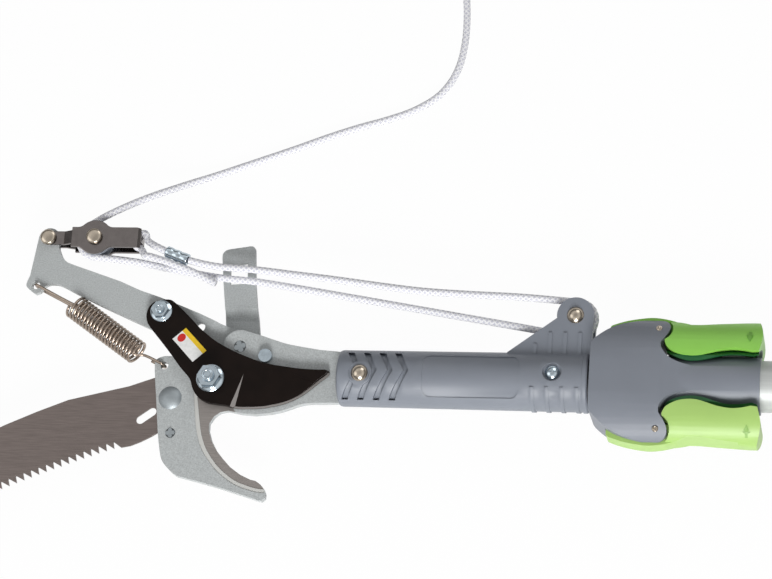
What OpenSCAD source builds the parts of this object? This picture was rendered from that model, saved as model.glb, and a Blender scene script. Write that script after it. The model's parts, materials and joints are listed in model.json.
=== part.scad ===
/* [Pivots] */
// Lever pivot, along the pole from the mouth of the head socket
lever_pivot_x = -66; // [-70:0.5:-62]
// Lever pivot, across the pole axis
lever_pivot_y = 19; // [17:0.5:21]
// Blade pivot, along the pole
blade_pivot_x = -82; // [-84:0.5:-79]
// Blade pivot, across the pole axis
blade_pivot_y = -4; // [-6:0.5:-2]
// Distance from the blade pivot to the link bolt in the blade's tail
link_radius = 57; // [56:0.25:58]
// Direction of the link bolt seen from the blade pivot
link_angle = 129.3; // [128:0.5:131]
// Swing of the blade from open to fully closed
blade_travel = 64; // [50:1:66]
// Swing of the lever for each degree of the blade
lever_ratio = 1.25; // [1.1:0.01:1.35]

/* [Head plates] */
// Thickness of the frame plate with the hook
frame_t = 5; // [4:0.25:6]
// Depth of the ground face that the blade slides over
ground_depth = 0.8; // [0.4:0.1:1.2]
// Thickness of the cutting blade
blade_t = 4; // [3:0.25:5]
// Thickness of the lever arm
lever_t = 4; // [3:0.25:4.5]
// Running gap between plates that slide over each other
plate_gap = 0.3; // [0.2:0.05:0.4]
// Width of the shank that enters the socket
shank_w = 33.5; // [30:0.5:34]
// Half width of the lever arm along its straight part
lever_half_w = 11; // [10:0.5:12]
// Distance from the lever pivot to the block pivot
lever_reach = 150.8; // [146:0.5:155]
// Direction of the block pivot seen from the lever pivot
lever_angle = 151.9; // [150:0.5:154]

/* [Fasteners] */
// Thread diameter of the blade pivot bolt
pivot_bolt_d = 8; // [7:0.5:9]
// Flange diameter of the blade pivot nut
pivot_flange_d = 18; // [16:0.5:20]
// Thread diameter of the link bolt
link_bolt_d = 6; // [5:0.5:7]
// Flange diameter of the link nut
link_flange_d = 14.2; // [13:0.2:15]
// Diameter of the splined lever pin
lever_pin_d = 8; // [6:0.5:9]
// Head diameter of the blade stop pin
stop_head_d = 8.6; // [8:0.1:9]
// Radial running clearance of a pin in its hole
pin_clear = 0.05; // [0.02:0.01:0.1]

/* [Saw] */
// Thickness of the saw blade
saw_t = 1.6; // [1.2:0.1:2]
// Length of the toothed edge
saw_edge_len = 250; // [200:5:300]
// Number of saw teeth
saw_teeth = 49; // [30:1:60]
// Depth of a saw tooth
tooth_depth = 4.6; // [3:0.2:6]
// Radius of the curved toothed edge
saw_edge_r = 1000; // [600:50:1600]
// Width of the saw at its first tooth
saw_root_w = 36.5; // [32:0.5:40]
// Width of the saw at its tip
saw_tip_w = 13; // [8:1:18]

/* [Return spring] */
// Wire diameter of the return spring
spring_wire_d = 1.9; // [1.4:0.1:2]
// Outer diameter of the return spring
spring_d = 16.6; // [14:0.2:18]
// Number of turns of the return spring
spring_turns = 20; // [12:1:20]

/* [Pulleys and rope] */
// Diameter of the rope
rope_d = 4.5; // [4:0.1:4.8]
// Radius from a sheave's axle to the middle of the rope
sheave_pitch_r = 11.5; // [11:0.1:12]
// Width of a sheave
sheave_w = 9; // [8:0.2:9.4]
// Diameter of the sheave axles
sheave_axle_d = 5; // [4:0.5:6]
// Thickness of the block's strap
strap_t = 2; // [1.5:0.1:2.4]
// Radius of the round cheeks of the block
cheek_r = 11.4; // [11:0.2:13]
// Distance from the block's rivet to its sheave
block_sheave_x = 31.5; // [30:0.5:34]
// Length of the block from its rivet to the end web
block_len = 62; // [60:0.5:66]

/* [Socket] */
// Outer diameter of the head socket
socket_d = 36; // [35:0.5:38]
// Length of the head socket
socket_len = 157.5; // [150:0.5:165]
// Thickness of each pulley ear
ear_t = 4.5; // [3.5:0.25:5]
// Height of the head sheave above the pole axis
ear_y = 41.3; // [40:0.5:44]
// Distance of the head sheave back from the socket's rear end
ear_back = 10; // [9:0.5:12]

/* [Connector and pole] */
// Half thickness of the connector housing, which is also the height of the pole axis above the ground
housing_half_t = 21; // [20.5:0.25:22]
// Outer diameter of the pole
pole_d = 31.8; // [30:0.2:32]
// Wall of the pole
pole_wall = 1.5; // [1:0.1:2]
// Length of the pole tube
pole_len = 1100; // [600:10:1800]
// Length of the grip sleeve
grip_len = 220; // [120:10:300]
// Diameter of the hanging hole in the end cap
hang_d = 10; // [6:0.5:12]
// Angle that a latch lever can be pressed
latch_travel = 3.5; // [2:0.5:4]

/* [Hidden] */
$fn = 48;
eps = 0.01;

// Pivot points and the travel of the linkage, which closes clockwise
lever_pivot = [lever_pivot_x, lever_pivot_y];
blade_pivot = [blade_pivot_x, blade_pivot_y];
lever_travel = blade_travel * lever_ratio;
block_pivot = lever_pivot + lever_reach * [cos(lever_angle), sin(lever_angle)];
link_point = blade_pivot + link_radius * [cos(link_angle), sin(link_angle)];
ear_x = socket_len - ear_back;
head_axle_point = [ear_x, ear_y];

// Levels across the plates, measured from the middle of the frame plate
frame_front = frame_t / 2;
ground_front = frame_front - ground_depth;
blade_back = frame_front + 0.2;
blade_front = blade_back + blade_t;
lever_front = lever_t / 2;
lever_low_front = -frame_front - plate_gap;
lever_low_back = lever_low_front - lever_t;
guide_front = lever_low_back - 3.5;
guide_t = 3;
guide_top_front = guide_front + 2.5;

// Smooth open curve through chosen points, with each stretch cut into steps
curve_steps = 4;
function spline_point(a, b, c, d, t) =
    0.5 * ((2 * b) + (c - a) * t + (2 * a - 5 * b + 4 * c - d) * t * t + (3 * b - a - 3 * c + d) * t * t * t);
function curve(points, steps = curve_steps) = let (last = len(points) - 1) concat(
    [for (i = [0:last - 1], k = [0:steps - 1])
        spline_point(points[max(i - 1, 0)], points[i], points[i + 1], points[min(i + 2, last)], k / steps)],
    [points[last]]);
function arc(centre, r, from, to, steps = 12) =
    [for (i = [0:steps]) let (a = from + (to - from) * i / steps) centre + r * [cos(a), sin(a)]];
function turned(p, a) = [p.x * cos(a) - p.y * sin(a), p.x * sin(a) + p.y * cos(a)];
function unit(v) = v / norm(v);
function moved(points, by) = [for (p = points) p + by];

// The object lies flat: its lowest side is on the ground and its box is centred on the origin
saw_root = [-143.9, -44.1];
saw_dir = 199.5;
function saw_at(s) = let (turn = s / saw_edge_r * 180 / PI)
    saw_root + saw_edge_r * [sin(saw_dir + turn) - sin(saw_dir), cos(saw_dir) - cos(saw_dir + turn)];
function saw_up(s) = let (a = saw_dir + s / saw_edge_r * 180 / PI) [sin(a), -cos(a)];
function saw_width(s) = saw_root_w - (saw_root_w - saw_tip_w) * pow(s / saw_edge_len, 2);
saw_tip = saw_at(saw_edge_len);
tooth_pitch = saw_edge_len / saw_teeth;
pole_start = 54.5;
cap_len = 40;
cap_end = pole_start + pole_len + cap_len;
left_end = min(saw_tip.x, (saw_tip + saw_width(saw_edge_len) * saw_up(saw_edge_len)).x);
cheek_half_w = 6.7;
top_end = block_pivot.y + cheek_half_w + rope_d + 0.9;
last_tooth = tooth_points(saw_teeth - 1)[1];
bottom_end = min(last_tooth.y, saw_tip.y);
module place() translate([-(left_end + socket_len + cap_end) / 2, -(top_end + bottom_end) / 2, housing_half_t]) children();

// Colours
paint = "#b2b7b6";
bare_steel = "#6b6360";
blade_black = "#1d1715";
dark_nickel = "#676463";
warm_nickel = "#c2b6a4";
zinc = "#b9c4ca";
spring_steel = "#8c8078";
rope_white = "#efeef2";
plastic_grey = "#7a7f88";
upper_green = "#8cc65a";
lower_green = "#b1d878";
aluminium = "#c9cdcd";
black_plastic = "#2b2b2d";

module slab(low, high) translate([0, 0, low]) linear_extrude(high - low) children();
module at(p, z = 0) translate([p.x, p.y, z]) children();
module along_x(x, length) translate([x, 0, 0]) rotate([90, 0, 90]) linear_extrude(length) children();
module hex(across) circle(d = across / cos(30), $fn = 6);

// A domed rivet head on a shank, standing on z = 0 and pointing up
module dome(r, h) intersection() {
    translate([0, 0, h - (r * r + h * h) / (2 * h)]) sphere(r = (r * r + h * h) / (2 * h), $fn = 48);
    cylinder(r = r, h = 2 * h);
}

// Frame plate: shank, pivot end, saw seat and hook, with a ground shearing face
saw_bolt_point = [-108.3, -15.9];
saw_stop_point = [-106.1, -38.8];
spring_hole = [-114, 5.5];
spring_hole_d = 5.2;
stop_point = [-48.6, 12.6];
socket_rivet_point = [15, -1];
shank_end = 60;
pivot_end_r = 11;
hook_inner = [[-52.4, -25.5], [-62.1, -24.8], [-70, -23.3], [-75.1, -24.4], [-78.7, -27.1], [-81.5, -31.8],
    [-81.5, -36.3], [-79.3, -42.8], [-75.5, -49.2], [-71.1, -54.3], [-65.5, -60], [-58.7, -64.7],
    [-52, -67.7], [-48.8, -68.3], [-45.4, -70.5], [-43.2, -73], [-41.7, -76.1], [-41.7, -79.4]];
module frame_outline() {
    polygon(concat(
        [[shank_end, shank_w / 2], [-1, shank_w / 2]],
        curve([[-14, 17.7], [-33.7, 20.9], [-43.6, 23.7], [-53.6, 26.9]]),
        arc(lever_pivot, pivot_end_r, 66, 205),
        curve([[-78, 10.5], [-84, 7.5], [-92, 8.6], [-102, 11], [-110.9, 11.8], [-115.4, 11.4], [-119.2, 9.6],
            [-120.4, 5.6], [-117.2, -17.4], [-114.4, -37], [-112.4, -48], [-110.8, -54.5], [-108.8, -58.4],
            [-105.2, -62.2], [-101, -65.6], [-97, -67.1], [-77.3, -71.8], [-51.1, -79.3]]),
        [[-46, -80.9], [-43.8, -81.2]],
        [for (i = [len(hook_inner) - 1:-1:0]) hook_inner[i]],
        curve([[-42.8, -24.3], [-36.5, -22.9], [-30.3, -20.8], [-24.1, -18.4], [-17.7, -17.2]]),
        [[-1, -shank_w / 2], [shank_end, -shank_w / 2]]));
}
// Edge where the painted face steps down, twice, to the ground face of the hook
lip_edge = [[-66.6, -22], [-63, -9], [-70, 6], [-84, 10], [-97, 4], [-92.5, -8], [-90.6, -15.4], [-88, -29.7],
    [-85.8, -39.5], [-82.8, -47.2], [-79.1, -53], [-74, -59.3], [-68.4, -64.3], [-61.7, -68.7],
    [-55, -71.4], [-49.1, -73.1], [-45.3, -73.7]];
lip_w = 5.5;
module ground_area(grow) {
    // A point of the lip is pushed outwards, away from the middle of the jaw
    middle = [-60, -30];
    polygon(concat([for (p = curve(lip_edge)) p + grow * unit(p - middle)],
        [[-30, -74], [-30, -40], [-60, -34]]));
}
module frame_plate() color(paint) difference() {
    slab(-frame_t / 2, frame_t / 2) frame_outline();
    slab(ground_front, frame_t) ground_area(0);
    slab((ground_front + frame_front) / 2, frame_t) ground_area(lip_w / 2);
    at(lever_pivot, -frame_t) cylinder(d = lever_pin_d, h = 2 * frame_t);
    at(blade_pivot, -frame_t) cylinder(d = pivot_bolt_d, h = 2 * frame_t);
    at(stop_point, -frame_t) cylinder(d = stop_shank_d, h = 2 * frame_t);
    at(spring_hole, -frame_t) cylinder(d = spring_hole_d, h = 2 * frame_t);
    at(saw_stop_point, -frame_t) cylinder(d = saw_stop_d, h = 2 * frame_t);
    at(saw_bolt_point) cube([saw_bolt_d, saw_bolt_d, 2 * frame_t], center = true);
    at(socket_rivet_point, -frame_t) cylinder(d = socket_rivet_d, h = 2 * frame_t);
}

// Saw blade behind the plate, with a slot that lets it hang further out
saw_back = -frame_t / 2 - saw_t;
saw_bolt_d = 6;
saw_stop_d = 6.4;
tang_end = -97;
saw_slot = [[-127.7, -29.3], [-120.4, -23.8]];
saw_slot_w = 5.4;
function tooth_points(i) = let (s = i * tooth_pitch)
    [saw_at(s), saw_at(s + 0.12 * tooth_pitch) - tooth_depth * saw_up(s), saw_at(s + 0.9 * tooth_pitch)];
module saw_blade() color(bare_steel) difference() {
    slab(saw_back, -frame_t / 2) polygon(concat(
        [[tang_end, -27], [tang_end, -6], [-104, 0.5], [-121.4, -1.5], [-136.8, -7.2]],
        [for (k = [1:12]) let (s = saw_edge_len * k / 12) saw_at(s) + saw_width(s) * saw_up(s)],
        [for (i = [saw_teeth - 1:-1:0]) each [tooth_points(i)[2], tooth_points(i)[1], tooth_points(i)[0]]],
        [[-138.5, -47.7], [-132.5, -46.4], [-126, -43.6], [-119.7, -40.2], [-109.5, -33.5]]));
    at(saw_bolt_point, saw_back - eps) cylinder(d = saw_bolt_d + 0.4, h = frame_t);
    slab(saw_back - eps, 0) slot_shape(saw_slot[0], saw_slot[1], saw_slot_w);
}
module slot_shape(a, b, w) {
    side = w / 2 * turned(unit(b - a), 90);
    translate(a) circle(d = w);
    translate(b) circle(d = w);
    polygon([a + side, b + side, b - side, a - side]);
}

saw_bolt_head_d = 15;
saw_bolt_head_h = 2.6;
saw_washer_t = 1.6;
wing_h = 8;
saw_bolt_end = -housing_half_t + 0.6;
module saw_bolt() color(zinc) at(saw_bolt_point) {
    translate([0, 0, frame_t / 2]) dome(saw_bolt_head_d / 2, saw_bolt_head_h);
    translate([0, 0, frame_t / 4]) cube([saw_bolt_d, saw_bolt_d, frame_t / 2], center = true);
    translate([0, 0, saw_bolt_end]) cylinder(d = saw_bolt_d, h = frame_t / 2 - saw_bolt_end);
}
module saw_washer() color(zinc) at(saw_bolt_point) slab(saw_back - saw_washer_t, saw_back) difference() {
    circle(d = 3 * saw_bolt_d);
    circle(d = saw_bolt_d);
}
module saw_wing_nut() color(zinc) at(saw_bolt_point, saw_back - saw_washer_t) mirror([0, 0, 1])
    rotate(28) difference() {
        union() {
            cylinder(d = 2 * saw_bolt_d, h = 0.7 * wing_h);
            for (a = [0, 180]) rotate(a) translate([0, 1.5, 0]) rotate([90, 0, 0]) linear_extrude(3)
                polygon(concat([[4, 1], [4, 4.8]], curve([[5.6, 7.4], [8, 10.6], [11, 12], [13.3, 10.6],
                    [13.4, 7.8], [11, 4.4], [7, 1.4]])));
        }
        translate([0, 0, -1]) cylinder(d = saw_bolt_d, h = 2 * wing_h);
    }
module saw_stop_rivet() color(warm_nickel) at(saw_stop_point) {
    slab(-frame_t / 2, frame_t / 2) circle(d = saw_stop_d);
    slab(saw_back, -frame_t / 2) circle(d = 1.3 * saw_stop_d);
}

// Cutting blade, drawn from its own pivot, with its cutting edge running from the tip back to the heel
blade_back_edge = curve([[-35.5, 52.2], [-31.5, 52.2], [-28.7, 50.9], [-24.4, 47.3], [-17.2, 40.7], [-10, 33.5],
    [-5.1, 29.6], [0.5, 25.4], [7.4, 21.5], [14.1, 18.3], [20.9, 15.5], [29.5, 12.4], [37.4, 10.5], [47.2, 9.1],
    [57, 7.9], [66.6, 7.5], [73, 7.6]], 3);
blade_cut_edge = curve([[75.7, 6.4], [74.6, 4.1], [70.4, 0.7], [64.4, -4.7], [58.4, -9.4], [52.2, -12.8],
    [46, -15.2], [39.7, -16.6], [33.4, -17.8], [20.6, -18.4], [15.4, -18]], 3);
blade_tail_edge = curve([[10.7, -16.8], [4.2, -16.1], [-1, -15.3], [-5.8, -13.1], [-9.3, -9.9], [-11.6, -5.6],
    [-13.3, -1], [-15.6, 2.2], [-20.6, 7.4], [-28, 16.5], [-35.4, 25.1], [-42.8, 33.6], [-45.1, 37.6],
    [-45.9, 42.3], [-44.7, 47], [-41.8, 50.4]], 3);
// The inner points of a line moved to its right by d
function moved_right(line, d) = let (last = len(line) - 1) [for (i = [0:last])
    i == 0 || i == last ? line[i] : line[i] - d * turned(unit(line[i + 1] - line[i - 1]), 90)];
module blade_outline(edge_in) polygon(concat(blade_back_edge, moved_right(blade_cut_edge, edge_in), blade_tail_edge));
edge_ledge_w = 1.3;
edge_ledge_t = 0.7;
// The hollow grind falls from the line between ridge_heel and ridge_tip, at the full thickness, to the cutting
// edge, and ends at a sloping wall from ridge_heel to ridge_foot
ridge_heel = [22.5, 3.6];
ridge_tip = [75.7, 6.2];
ridge_foot = [15.4, -18];
grind_angle = 8.4;
grind_turn = atan2(ridge_tip.y - ridge_heel.y, ridge_tip.x - ridge_heel.x);
ridge_turn = atan2(ridge_heel.y - ridge_foot.y, ridge_heel.x - ridge_foot.x) - 90;
ridge_wall_w = 3;
module grind() intersection() {
    at(ridge_heel, blade_front) rotate(grind_turn) rotate([grind_angle, 0, 0]) translate([-20, -40, 0])
        cube([90, 40, 12]);
    at(ridge_heel, blade_front) rotate(ridge_turn) rotate([90, 0, 0]) translate([0, 0, -10]) linear_extrude(50)
        polygon([[-ridge_wall_w / 2, 0.05], [ridge_wall_w / 2, -blade_t], [70, -blade_t], [70, blade_t],
            [-ridge_wall_w / 2, blade_t]]);
}
module cutting_blade() color(blade_black) at(blade_pivot) difference() {
    union() {
        slab(blade_back, blade_back + edge_ledge_t) blade_outline(0);
        slab(blade_back, blade_front) blade_outline(edge_ledge_w);
    }
    grind();
    at([0, 0], 0) cylinder(d = pivot_bolt_d + 2 * pin_clear, h = 2 * blade_front);
    at(link_radius * [cos(link_angle), sin(link_angle)], 0) cylinder(d = link_bolt_d, h = 2 * blade_front);
}
pivot_head_h = 5.3;
pivot_nut_h = 8;
module blade_pivot_bolt() color(zinc) at(blade_pivot) {
    slab(-frame_t / 2 - pivot_head_h, -frame_t / 2) hex(1.6 * pivot_bolt_d);
    slab(-frame_t / 2, blade_front + plate_gap + pivot_nut_h + 2.4) circle(d = pivot_bolt_d);
}
module flange_nut(thread, flange, across, h) {
    slab(0, 0.2 * h) ring(flange, thread);
    translate([0, 0, 0.2 * h]) difference() {
        cylinder(d1 = flange, d2 = across, h = 0.2 * h);
        translate([0, 0, -eps]) cylinder(d = thread, h = h);
    }
    slab(0.2 * h, h) difference() {
        hex(across);
        circle(d = thread);
    }
}
module ring(outer, inner) difference() {
    circle(d = outer);
    circle(d = inner);
}
module blade_pivot_nut() color(zinc) at(blade_pivot, blade_front + plate_gap)
    flange_nut(pivot_bolt_d, pivot_flange_d, 1.6 * pivot_bolt_d, pivot_nut_h);

// Lever arm: its slot is the path of the link bolt, so that the lever and the blade turn at one steady ratio
slot_clear = 0.08;
slot_steps = 24;
function link_at(b) = let (p = blade_pivot + link_radius * [cos(link_angle - b), sin(link_angle - b)])
    turned(p - lever_pivot, b * lever_ratio);
function slot_side(b, side) = let (step = 0.5)
    link_at(b) + side * turned(unit(link_at(b + step) - link_at(b - step)), 90);
module cam_slot() {
    r = link_bolt_d / 2 + slot_clear;
    polygon(concat([for (i = [0:slot_steps]) slot_side(blade_travel * i / slot_steps, r)],
        [for (i = [slot_steps:-1:0]) slot_side(blade_travel * i / slot_steps, -r)]));
    translate(link_at(0)) circle(r = r + slot_clear);
    translate(link_at(blade_travel)) circle(r = r + slot_clear);
}
spring_eye = [-204.6, 58.1];
spring_eye_d = 5.4;
lever_axis = 155;
joggle_near = 12;
joggle_far = 23.4;
module lever_outline() polygon(concat(
    arc([0, 0], lever_half_w + 0.6, 50, -128, 18),
    curve([[-18, -9.5], [-28, -6.5], [-42, 0.5], [-57.8, 10], [-64.7, 13.2], [-94.5, 26.2], [-108.4, 32.7]]),
    curve([[-120.4, 38.7], [-124.6, 40], [-129.3, 39.9], [-132.5, 38.5], [-135.4, 34.4]]),
    curve([[-137.9, 33.3], [-140, 34.3], [-144.4, 37.6], [-145.1, 40.3], [-143.3, 45.8]]),
    arc(block_pivot - lever_pivot, 7.2, 172, 30, 8),
    curve([[-125.9, 64.6], [-123.3, 59.1], [-120.2, 55.7], [-116, 53.7], [-96.6, 47.2]]),
    [[-82.8, 42.6], [-69, 36.7], [-55.3, 32.2], [-41.6, 27], [-28, 21.6], [-15, 15.8]]));
module lever_arm() color(paint) at(lever_pivot) difference() {
    intersection() {
        slab(lever_low_back - 1, lever_front + 1) lever_outline();
        // Side view of the sheet: low at the pivot, stepped up to the plane of the frame
        rotate(lever_axis) translate([0, 60, 0]) rotate([90, 0, 0]) linear_extrude(120) polygon([
            [-20, lever_low_back], [joggle_near, lever_low_back], [joggle_far, -lever_front],
            [170, -lever_front], [170, lever_front], [joggle_far, lever_front],
            [joggle_near, lever_low_front], [-20, lever_low_front]]);
    }
    translate([0, 0, lever_low_back - 1]) cylinder(d = lever_pin_d + 2 * pin_clear, h = 3 * lever_t);
    at(block_pivot - lever_pivot, -lever_t) cylinder(d = block_rivet_d + 2 * pin_clear, h = 2 * lever_t);
    at(spring_eye - lever_pivot, -lever_t) cylinder(d = spring_eye_d, h = 2 * lever_t);
    slab(-lever_t, lever_t) cam_slot();
}
lever_pin_head_h = 2.6;
module lever_pin() color(warm_nickel) at(lever_pivot) {
    slab(guide_front - guide_t, frame_front) circle(d = lever_pin_d);
    slab(guide_front - guide_t - lever_pin_head_h, guide_front - guide_t) circle(d = 1.6 * lever_pin_d);
}
module lever_spacer() color(zinc) at(lever_pivot) slab(guide_front, lever_low_back - plate_gap)
    ring(2 * lever_pin_d, lever_pin_d);

// Stop pin with its plain head beside the open blade; its shank also carries the rope guide
stop_shank_d = 6;
stop_head_h = 3;
module stop_pin() color(zinc) at(stop_point) {
    slab(guide_front - guide_t, frame_front) circle(d = stop_shank_d);
    slab(frame_front, frame_front + stop_head_h) circle(d = stop_head_d);
    slab(guide_front - guide_t - 2, guide_front - guide_t) circle(d = 1.5 * stop_shank_d);
}
module guide_spacer() color(zinc) at(stop_point) slab(guide_front, -frame_t / 2)
    ring(1.7 * stop_shank_d, stop_shank_d);

// Rope guide: a bent strap behind the rope with a window
guide_top = 89.5;
guide_step = [40, 48];
guide_window = [[-78.4, 63.5], [-67, 64.5], [-68.2, 78.6], [-79.3, 76.2]];
module rope_guide() color(paint) difference() {
    intersection() {
        slab(guide_front - guide_t - 1, guide_top_front + 1) polygon(concat(
            arc(stop_point, 8, 10, -120, 8), arc(lever_pivot, 11, -150, -200, 4),
            [[-79.5, 37.8], [-80, 45], [-83, 64.7]],
            curve([[-85.2, 81.7], [-85, 84.4], [-83.4, 86.6], [-81, 87.6]]), curve([[-69.5, guide_top],
                [-66, guide_top + 0.4], [-64, 88.4], [-63.6, 86.5]]), [[-61.5, 63.6], [-59.4, 49.5], [-56.6, 30.9]]));
        rotate([90, 0, 90]) translate([0, 0, -120]) linear_extrude(120) polygon([
            [-10, guide_front - guide_t], [guide_step.x + 1.2, guide_front - guide_t],
            [guide_step.y + 1.2, guide_top_front - guide_t], [100, guide_top_front - guide_t],
            [100, guide_top_front], [guide_step.y, guide_top_front], [guide_step.x, guide_front],
            [-10, guide_front]]);
    }
    slab(-30, 0) polygon(guide_window);
    at(lever_pivot, -30) cylinder(d = lever_pin_d, h = 30);
    at(stop_point, -30) cylinder(d = stop_shank_d, h = 30);
}

// Link bolt through the lever's slot, fixed in the blade's tail
link_head_h = 3.2;
link_nut_h = 6;
module link_bolt() color(zinc) at(link_point) {
    translate([0, 0, -lever_front - 0.2]) mirror([0, 0, 1]) dome(link_bolt_d, link_head_h);
    slab(-lever_front - 0.2, blade_front + link_nut_h + 1.6) circle(d = link_bolt_d);
}
module link_washer() color(zinc) at(link_point) slab(lever_front + 0.2, blade_back)
    ring(2.2 * link_bolt_d, link_bolt_d);
module link_nut() color(zinc) at(link_point, blade_front)
    flange_nut(link_bolt_d, link_flange_d, 1.6 * link_bolt_d, link_nut_h);

// Tubes that follow a path: rings of points are joined into one closed skin
function path_dir(p, i) = let (n = len(p) - 1)
    i == 0 ? unit(p[1] - p[0]) : i == n ? unit(p[n] - p[n - 1]) : unit(unit(p[i + 1] - p[i]) + unit(p[i] - p[i - 1]));
function side_start(d) = unit(cross(d, abs(d.z) < 0.9 ? [0, 0, 1] : [1, 0, 0]));
function carried(v, d) = unit(v - (v * d) * d);
function sides(p, i = 0, v = undef) = i == len(p) ? [] :
    let (d = path_dir(p, i), s = i == 0 ? side_start(d) : carried(v, d)) concat([s], sides(p, i + 1, s));
module tube(p, r, n) {
    s = sides(p);
    last = len(p) - 1;
    points = [for (i = [0:last], k = [0:n - 1]) let (d = path_dir(p, i), u = s[i], w = cross(d, u), a = 360 * k / n)
        p[i] + r * (cos(a) * u + sin(a) * w)];
    walls = [for (i = [0:last - 1], k = [0:n - 1]) let (a = i * n + k, b = i * n + (k + 1) % n)
        each [[a, a + n, b + n], [a, b + n, b]]];
    ends = [for (k = [1:n - 2]) each [[0, k, k + 1], [last * n, last * n + k + 1, last * n + k]]];
    polyhedron(concat(points), concat(walls, ends));
}

// Return spring between the frame's hole and the lever's eye: its coil lies a little askew between its hooks
coil_low = [-132.6, 13.8];
coil_high = [-178, 44.8];
spring_r = (spring_d - spring_wire_d) / 2;
spring_hook_r = 3;
hook_drop = frame_t / 2 + spring_wire_d / 2 + 0.7;
coil_rings = 8;
coil_dir = unit(coil_high - coil_low);
coil_len = norm(coil_high - coil_low);
coil_gap = coil_len / spring_turns - spring_wire_d;
echo(str("least gap between turns of the return spring: ", coil_gap, " mm"));
// A point given along, across and above the line that starts at p and points in direction d
function beside(p, d, q) = flat(p + q.x * d + q.y * turned(d, 90), q.z);
low_hook_dir = unit(coil_low - spring_hole);
low_hook_len = norm(coil_low - spring_hole);
function hook_bend(p, d, out) = [for (a = [-60:30:60])
    beside(p, d, [out * (spring_hook_r - spring_hook_r * cos(a)), 0, hook_drop * sin(a)])];
module return_spring() color(spring_steel) tube(concat(
    [beside(spring_hole, low_hook_dir, [low_hook_len - 9, 0, -hook_drop]),
        beside(spring_hole, low_hook_dir, [spring_hook_r, 0, -hook_drop])],
    hook_bend(spring_hole, low_hook_dir, 1),
    [beside(spring_hole, low_hook_dir, [spring_hook_r, 0, hook_drop]),
        beside(spring_hole, low_hook_dir, [low_hook_len - 6, 0, hook_drop]),
        beside(coil_low, coil_dir, [-1.6, 2.4, spring_r * 0.84])],
    [for (i = [0:spring_turns * coil_rings]) let (a = 70 + 360 * i / coil_rings)
        beside(coil_low, coil_dir, [coil_len * i / (spring_turns * coil_rings), spring_r * cos(a), spring_r * sin(a)])]),
    spring_wire_d / 2, 6);
// Drawbar hook caught in the last turn and passed through the lever's eye
high_hook_dir = unit(coil_high - spring_eye);
high_hook_len = norm(coil_high - spring_eye);
function high_hook(q) = beside(spring_eye, high_hook_dir, q);
module spring_hook() color(spring_steel) tube(concat(
    [high_hook([high_hook_len + 6, 3.4, 0]), high_hook([high_hook_len + 3, 1, hook_drop - 0.6]),
        high_hook([high_hook_len - 2, 0, hook_drop]), high_hook([spring_hook_r, 0, hook_drop])],
    [for (i = [4:-1:0]) hook_bend(spring_eye, high_hook_dir, 1)[i]],
    [high_hook([spring_hook_r, 0, -hook_drop]), high_hook([high_hook_len - 2, 0, -hook_drop]),
        high_hook([high_hook_len + 3, -1, -hook_drop + 0.6]), high_hook([high_hook_len + 6, -3.4, 0])]),
    spring_wire_d / 2, 6);

// Pulley block: one strap folded round, open at the sides, drawn from its rivet
block_rivet_d = 6;
cheek_front = sheave_w / 2 + 0.4 + strap_t;
block_step = [10.5, 16];
strap_half_w = 4.5;
web_half_w = 2.4;
module round_on_bar(r, half_w, f) {
    // Round of radius r on a bar, with fillets of radius f where they meet
    reach = sqrt(pow(r + f, 2) - pow(half_w + f, 2));
    touch = (half_w + f) * r / (r + f);
    circle(r = r);
    difference() {
        square([2 * reach, 2 * touch], center = true);
        for (x = [-reach, reach], y = [-half_w - f, half_w + f]) translate([x, y]) circle(r = f);
    }
}
module strap_outline() {
    translate([0, -strap_half_w]) square([block_step.y + eps, 2 * strap_half_w]);
    circle(r = strap_half_w);
    translate([block_step.y, -cheek_half_w]) square([block_len - block_step.y, 2 * cheek_half_w]);
    translate([block_sheave_x, 0]) round_on_bar(cheek_r, cheek_half_w, 6);
}
module block_strap() color(dark_nickel) at(block_pivot) difference() {
    intersection() {
        slab(-cheek_front - 1, cheek_front + 1) strap_outline();
        rotate([90, 0, 0]) translate([0, 0, -20]) linear_extrude(40) difference() {
            polygon([[-10, strap_out], [block_step.x, strap_out], [block_step.y, cheek_front],
                [block_len - 2, cheek_front], [block_len, cheek_front - 2], [block_len, -cheek_front + 2],
                [block_len - 2, -cheek_front], [block_step.y, -cheek_front], [block_step.x, -strap_out],
                [-10, -strap_out]]);
            polygon([[-11, strap_in], [block_step.x + 0.5, strap_in], [block_step.y + 0.5, cheek_front - strap_t],
                [block_len - strap_t, cheek_front - strap_t], [block_len - strap_t, -cheek_front + strap_t],
                [block_step.y + 0.5, -cheek_front + strap_t], [block_step.x + 0.5, -strap_in], [-11, -strap_in]]);
        }
    }
    // The fold at the block's end is cut back to a narrow web, so that the rope can loop round it
    for (s = [0, 1]) mirror([0, s, 0]) translate([block_len - strap_t - 2, web_half_w, strap_t - cheek_front])
        cube([strap_t + 3, cheek_half_w, 2 * (cheek_front - strap_t)]);
    translate([0, 0, -20]) cylinder(d = block_rivet_d, h = 40);
    translate([block_sheave_x, 0, -20]) cylinder(d = sheave_axle_d, h = 40);
}
strap_in = lever_t / 2 + 0.2;
strap_out = strap_in + strap_t;
rivet_head_r = 4.9;
rivet_head_h = 3.2;
module two_headed_rivet(d, out, head_r, head_h) {
    slab(-out, out) circle(d = d);
    translate([0, 0, out]) dome(head_r, head_h);
    translate([0, 0, -out]) mirror([0, 0, 1]) dome(head_r, head_h);
}
module block_rivet() color(warm_nickel) at(block_pivot)
    two_headed_rivet(block_rivet_d, strap_out, rivet_head_r, rivet_head_h);
block_axle_point = block_pivot + [block_sheave_x, 0];
module block_axle() color(warm_nickel) at(block_axle_point)
    two_headed_rivet(sheave_axle_d, cheek_front, rivet_head_r, rivet_head_h);
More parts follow.
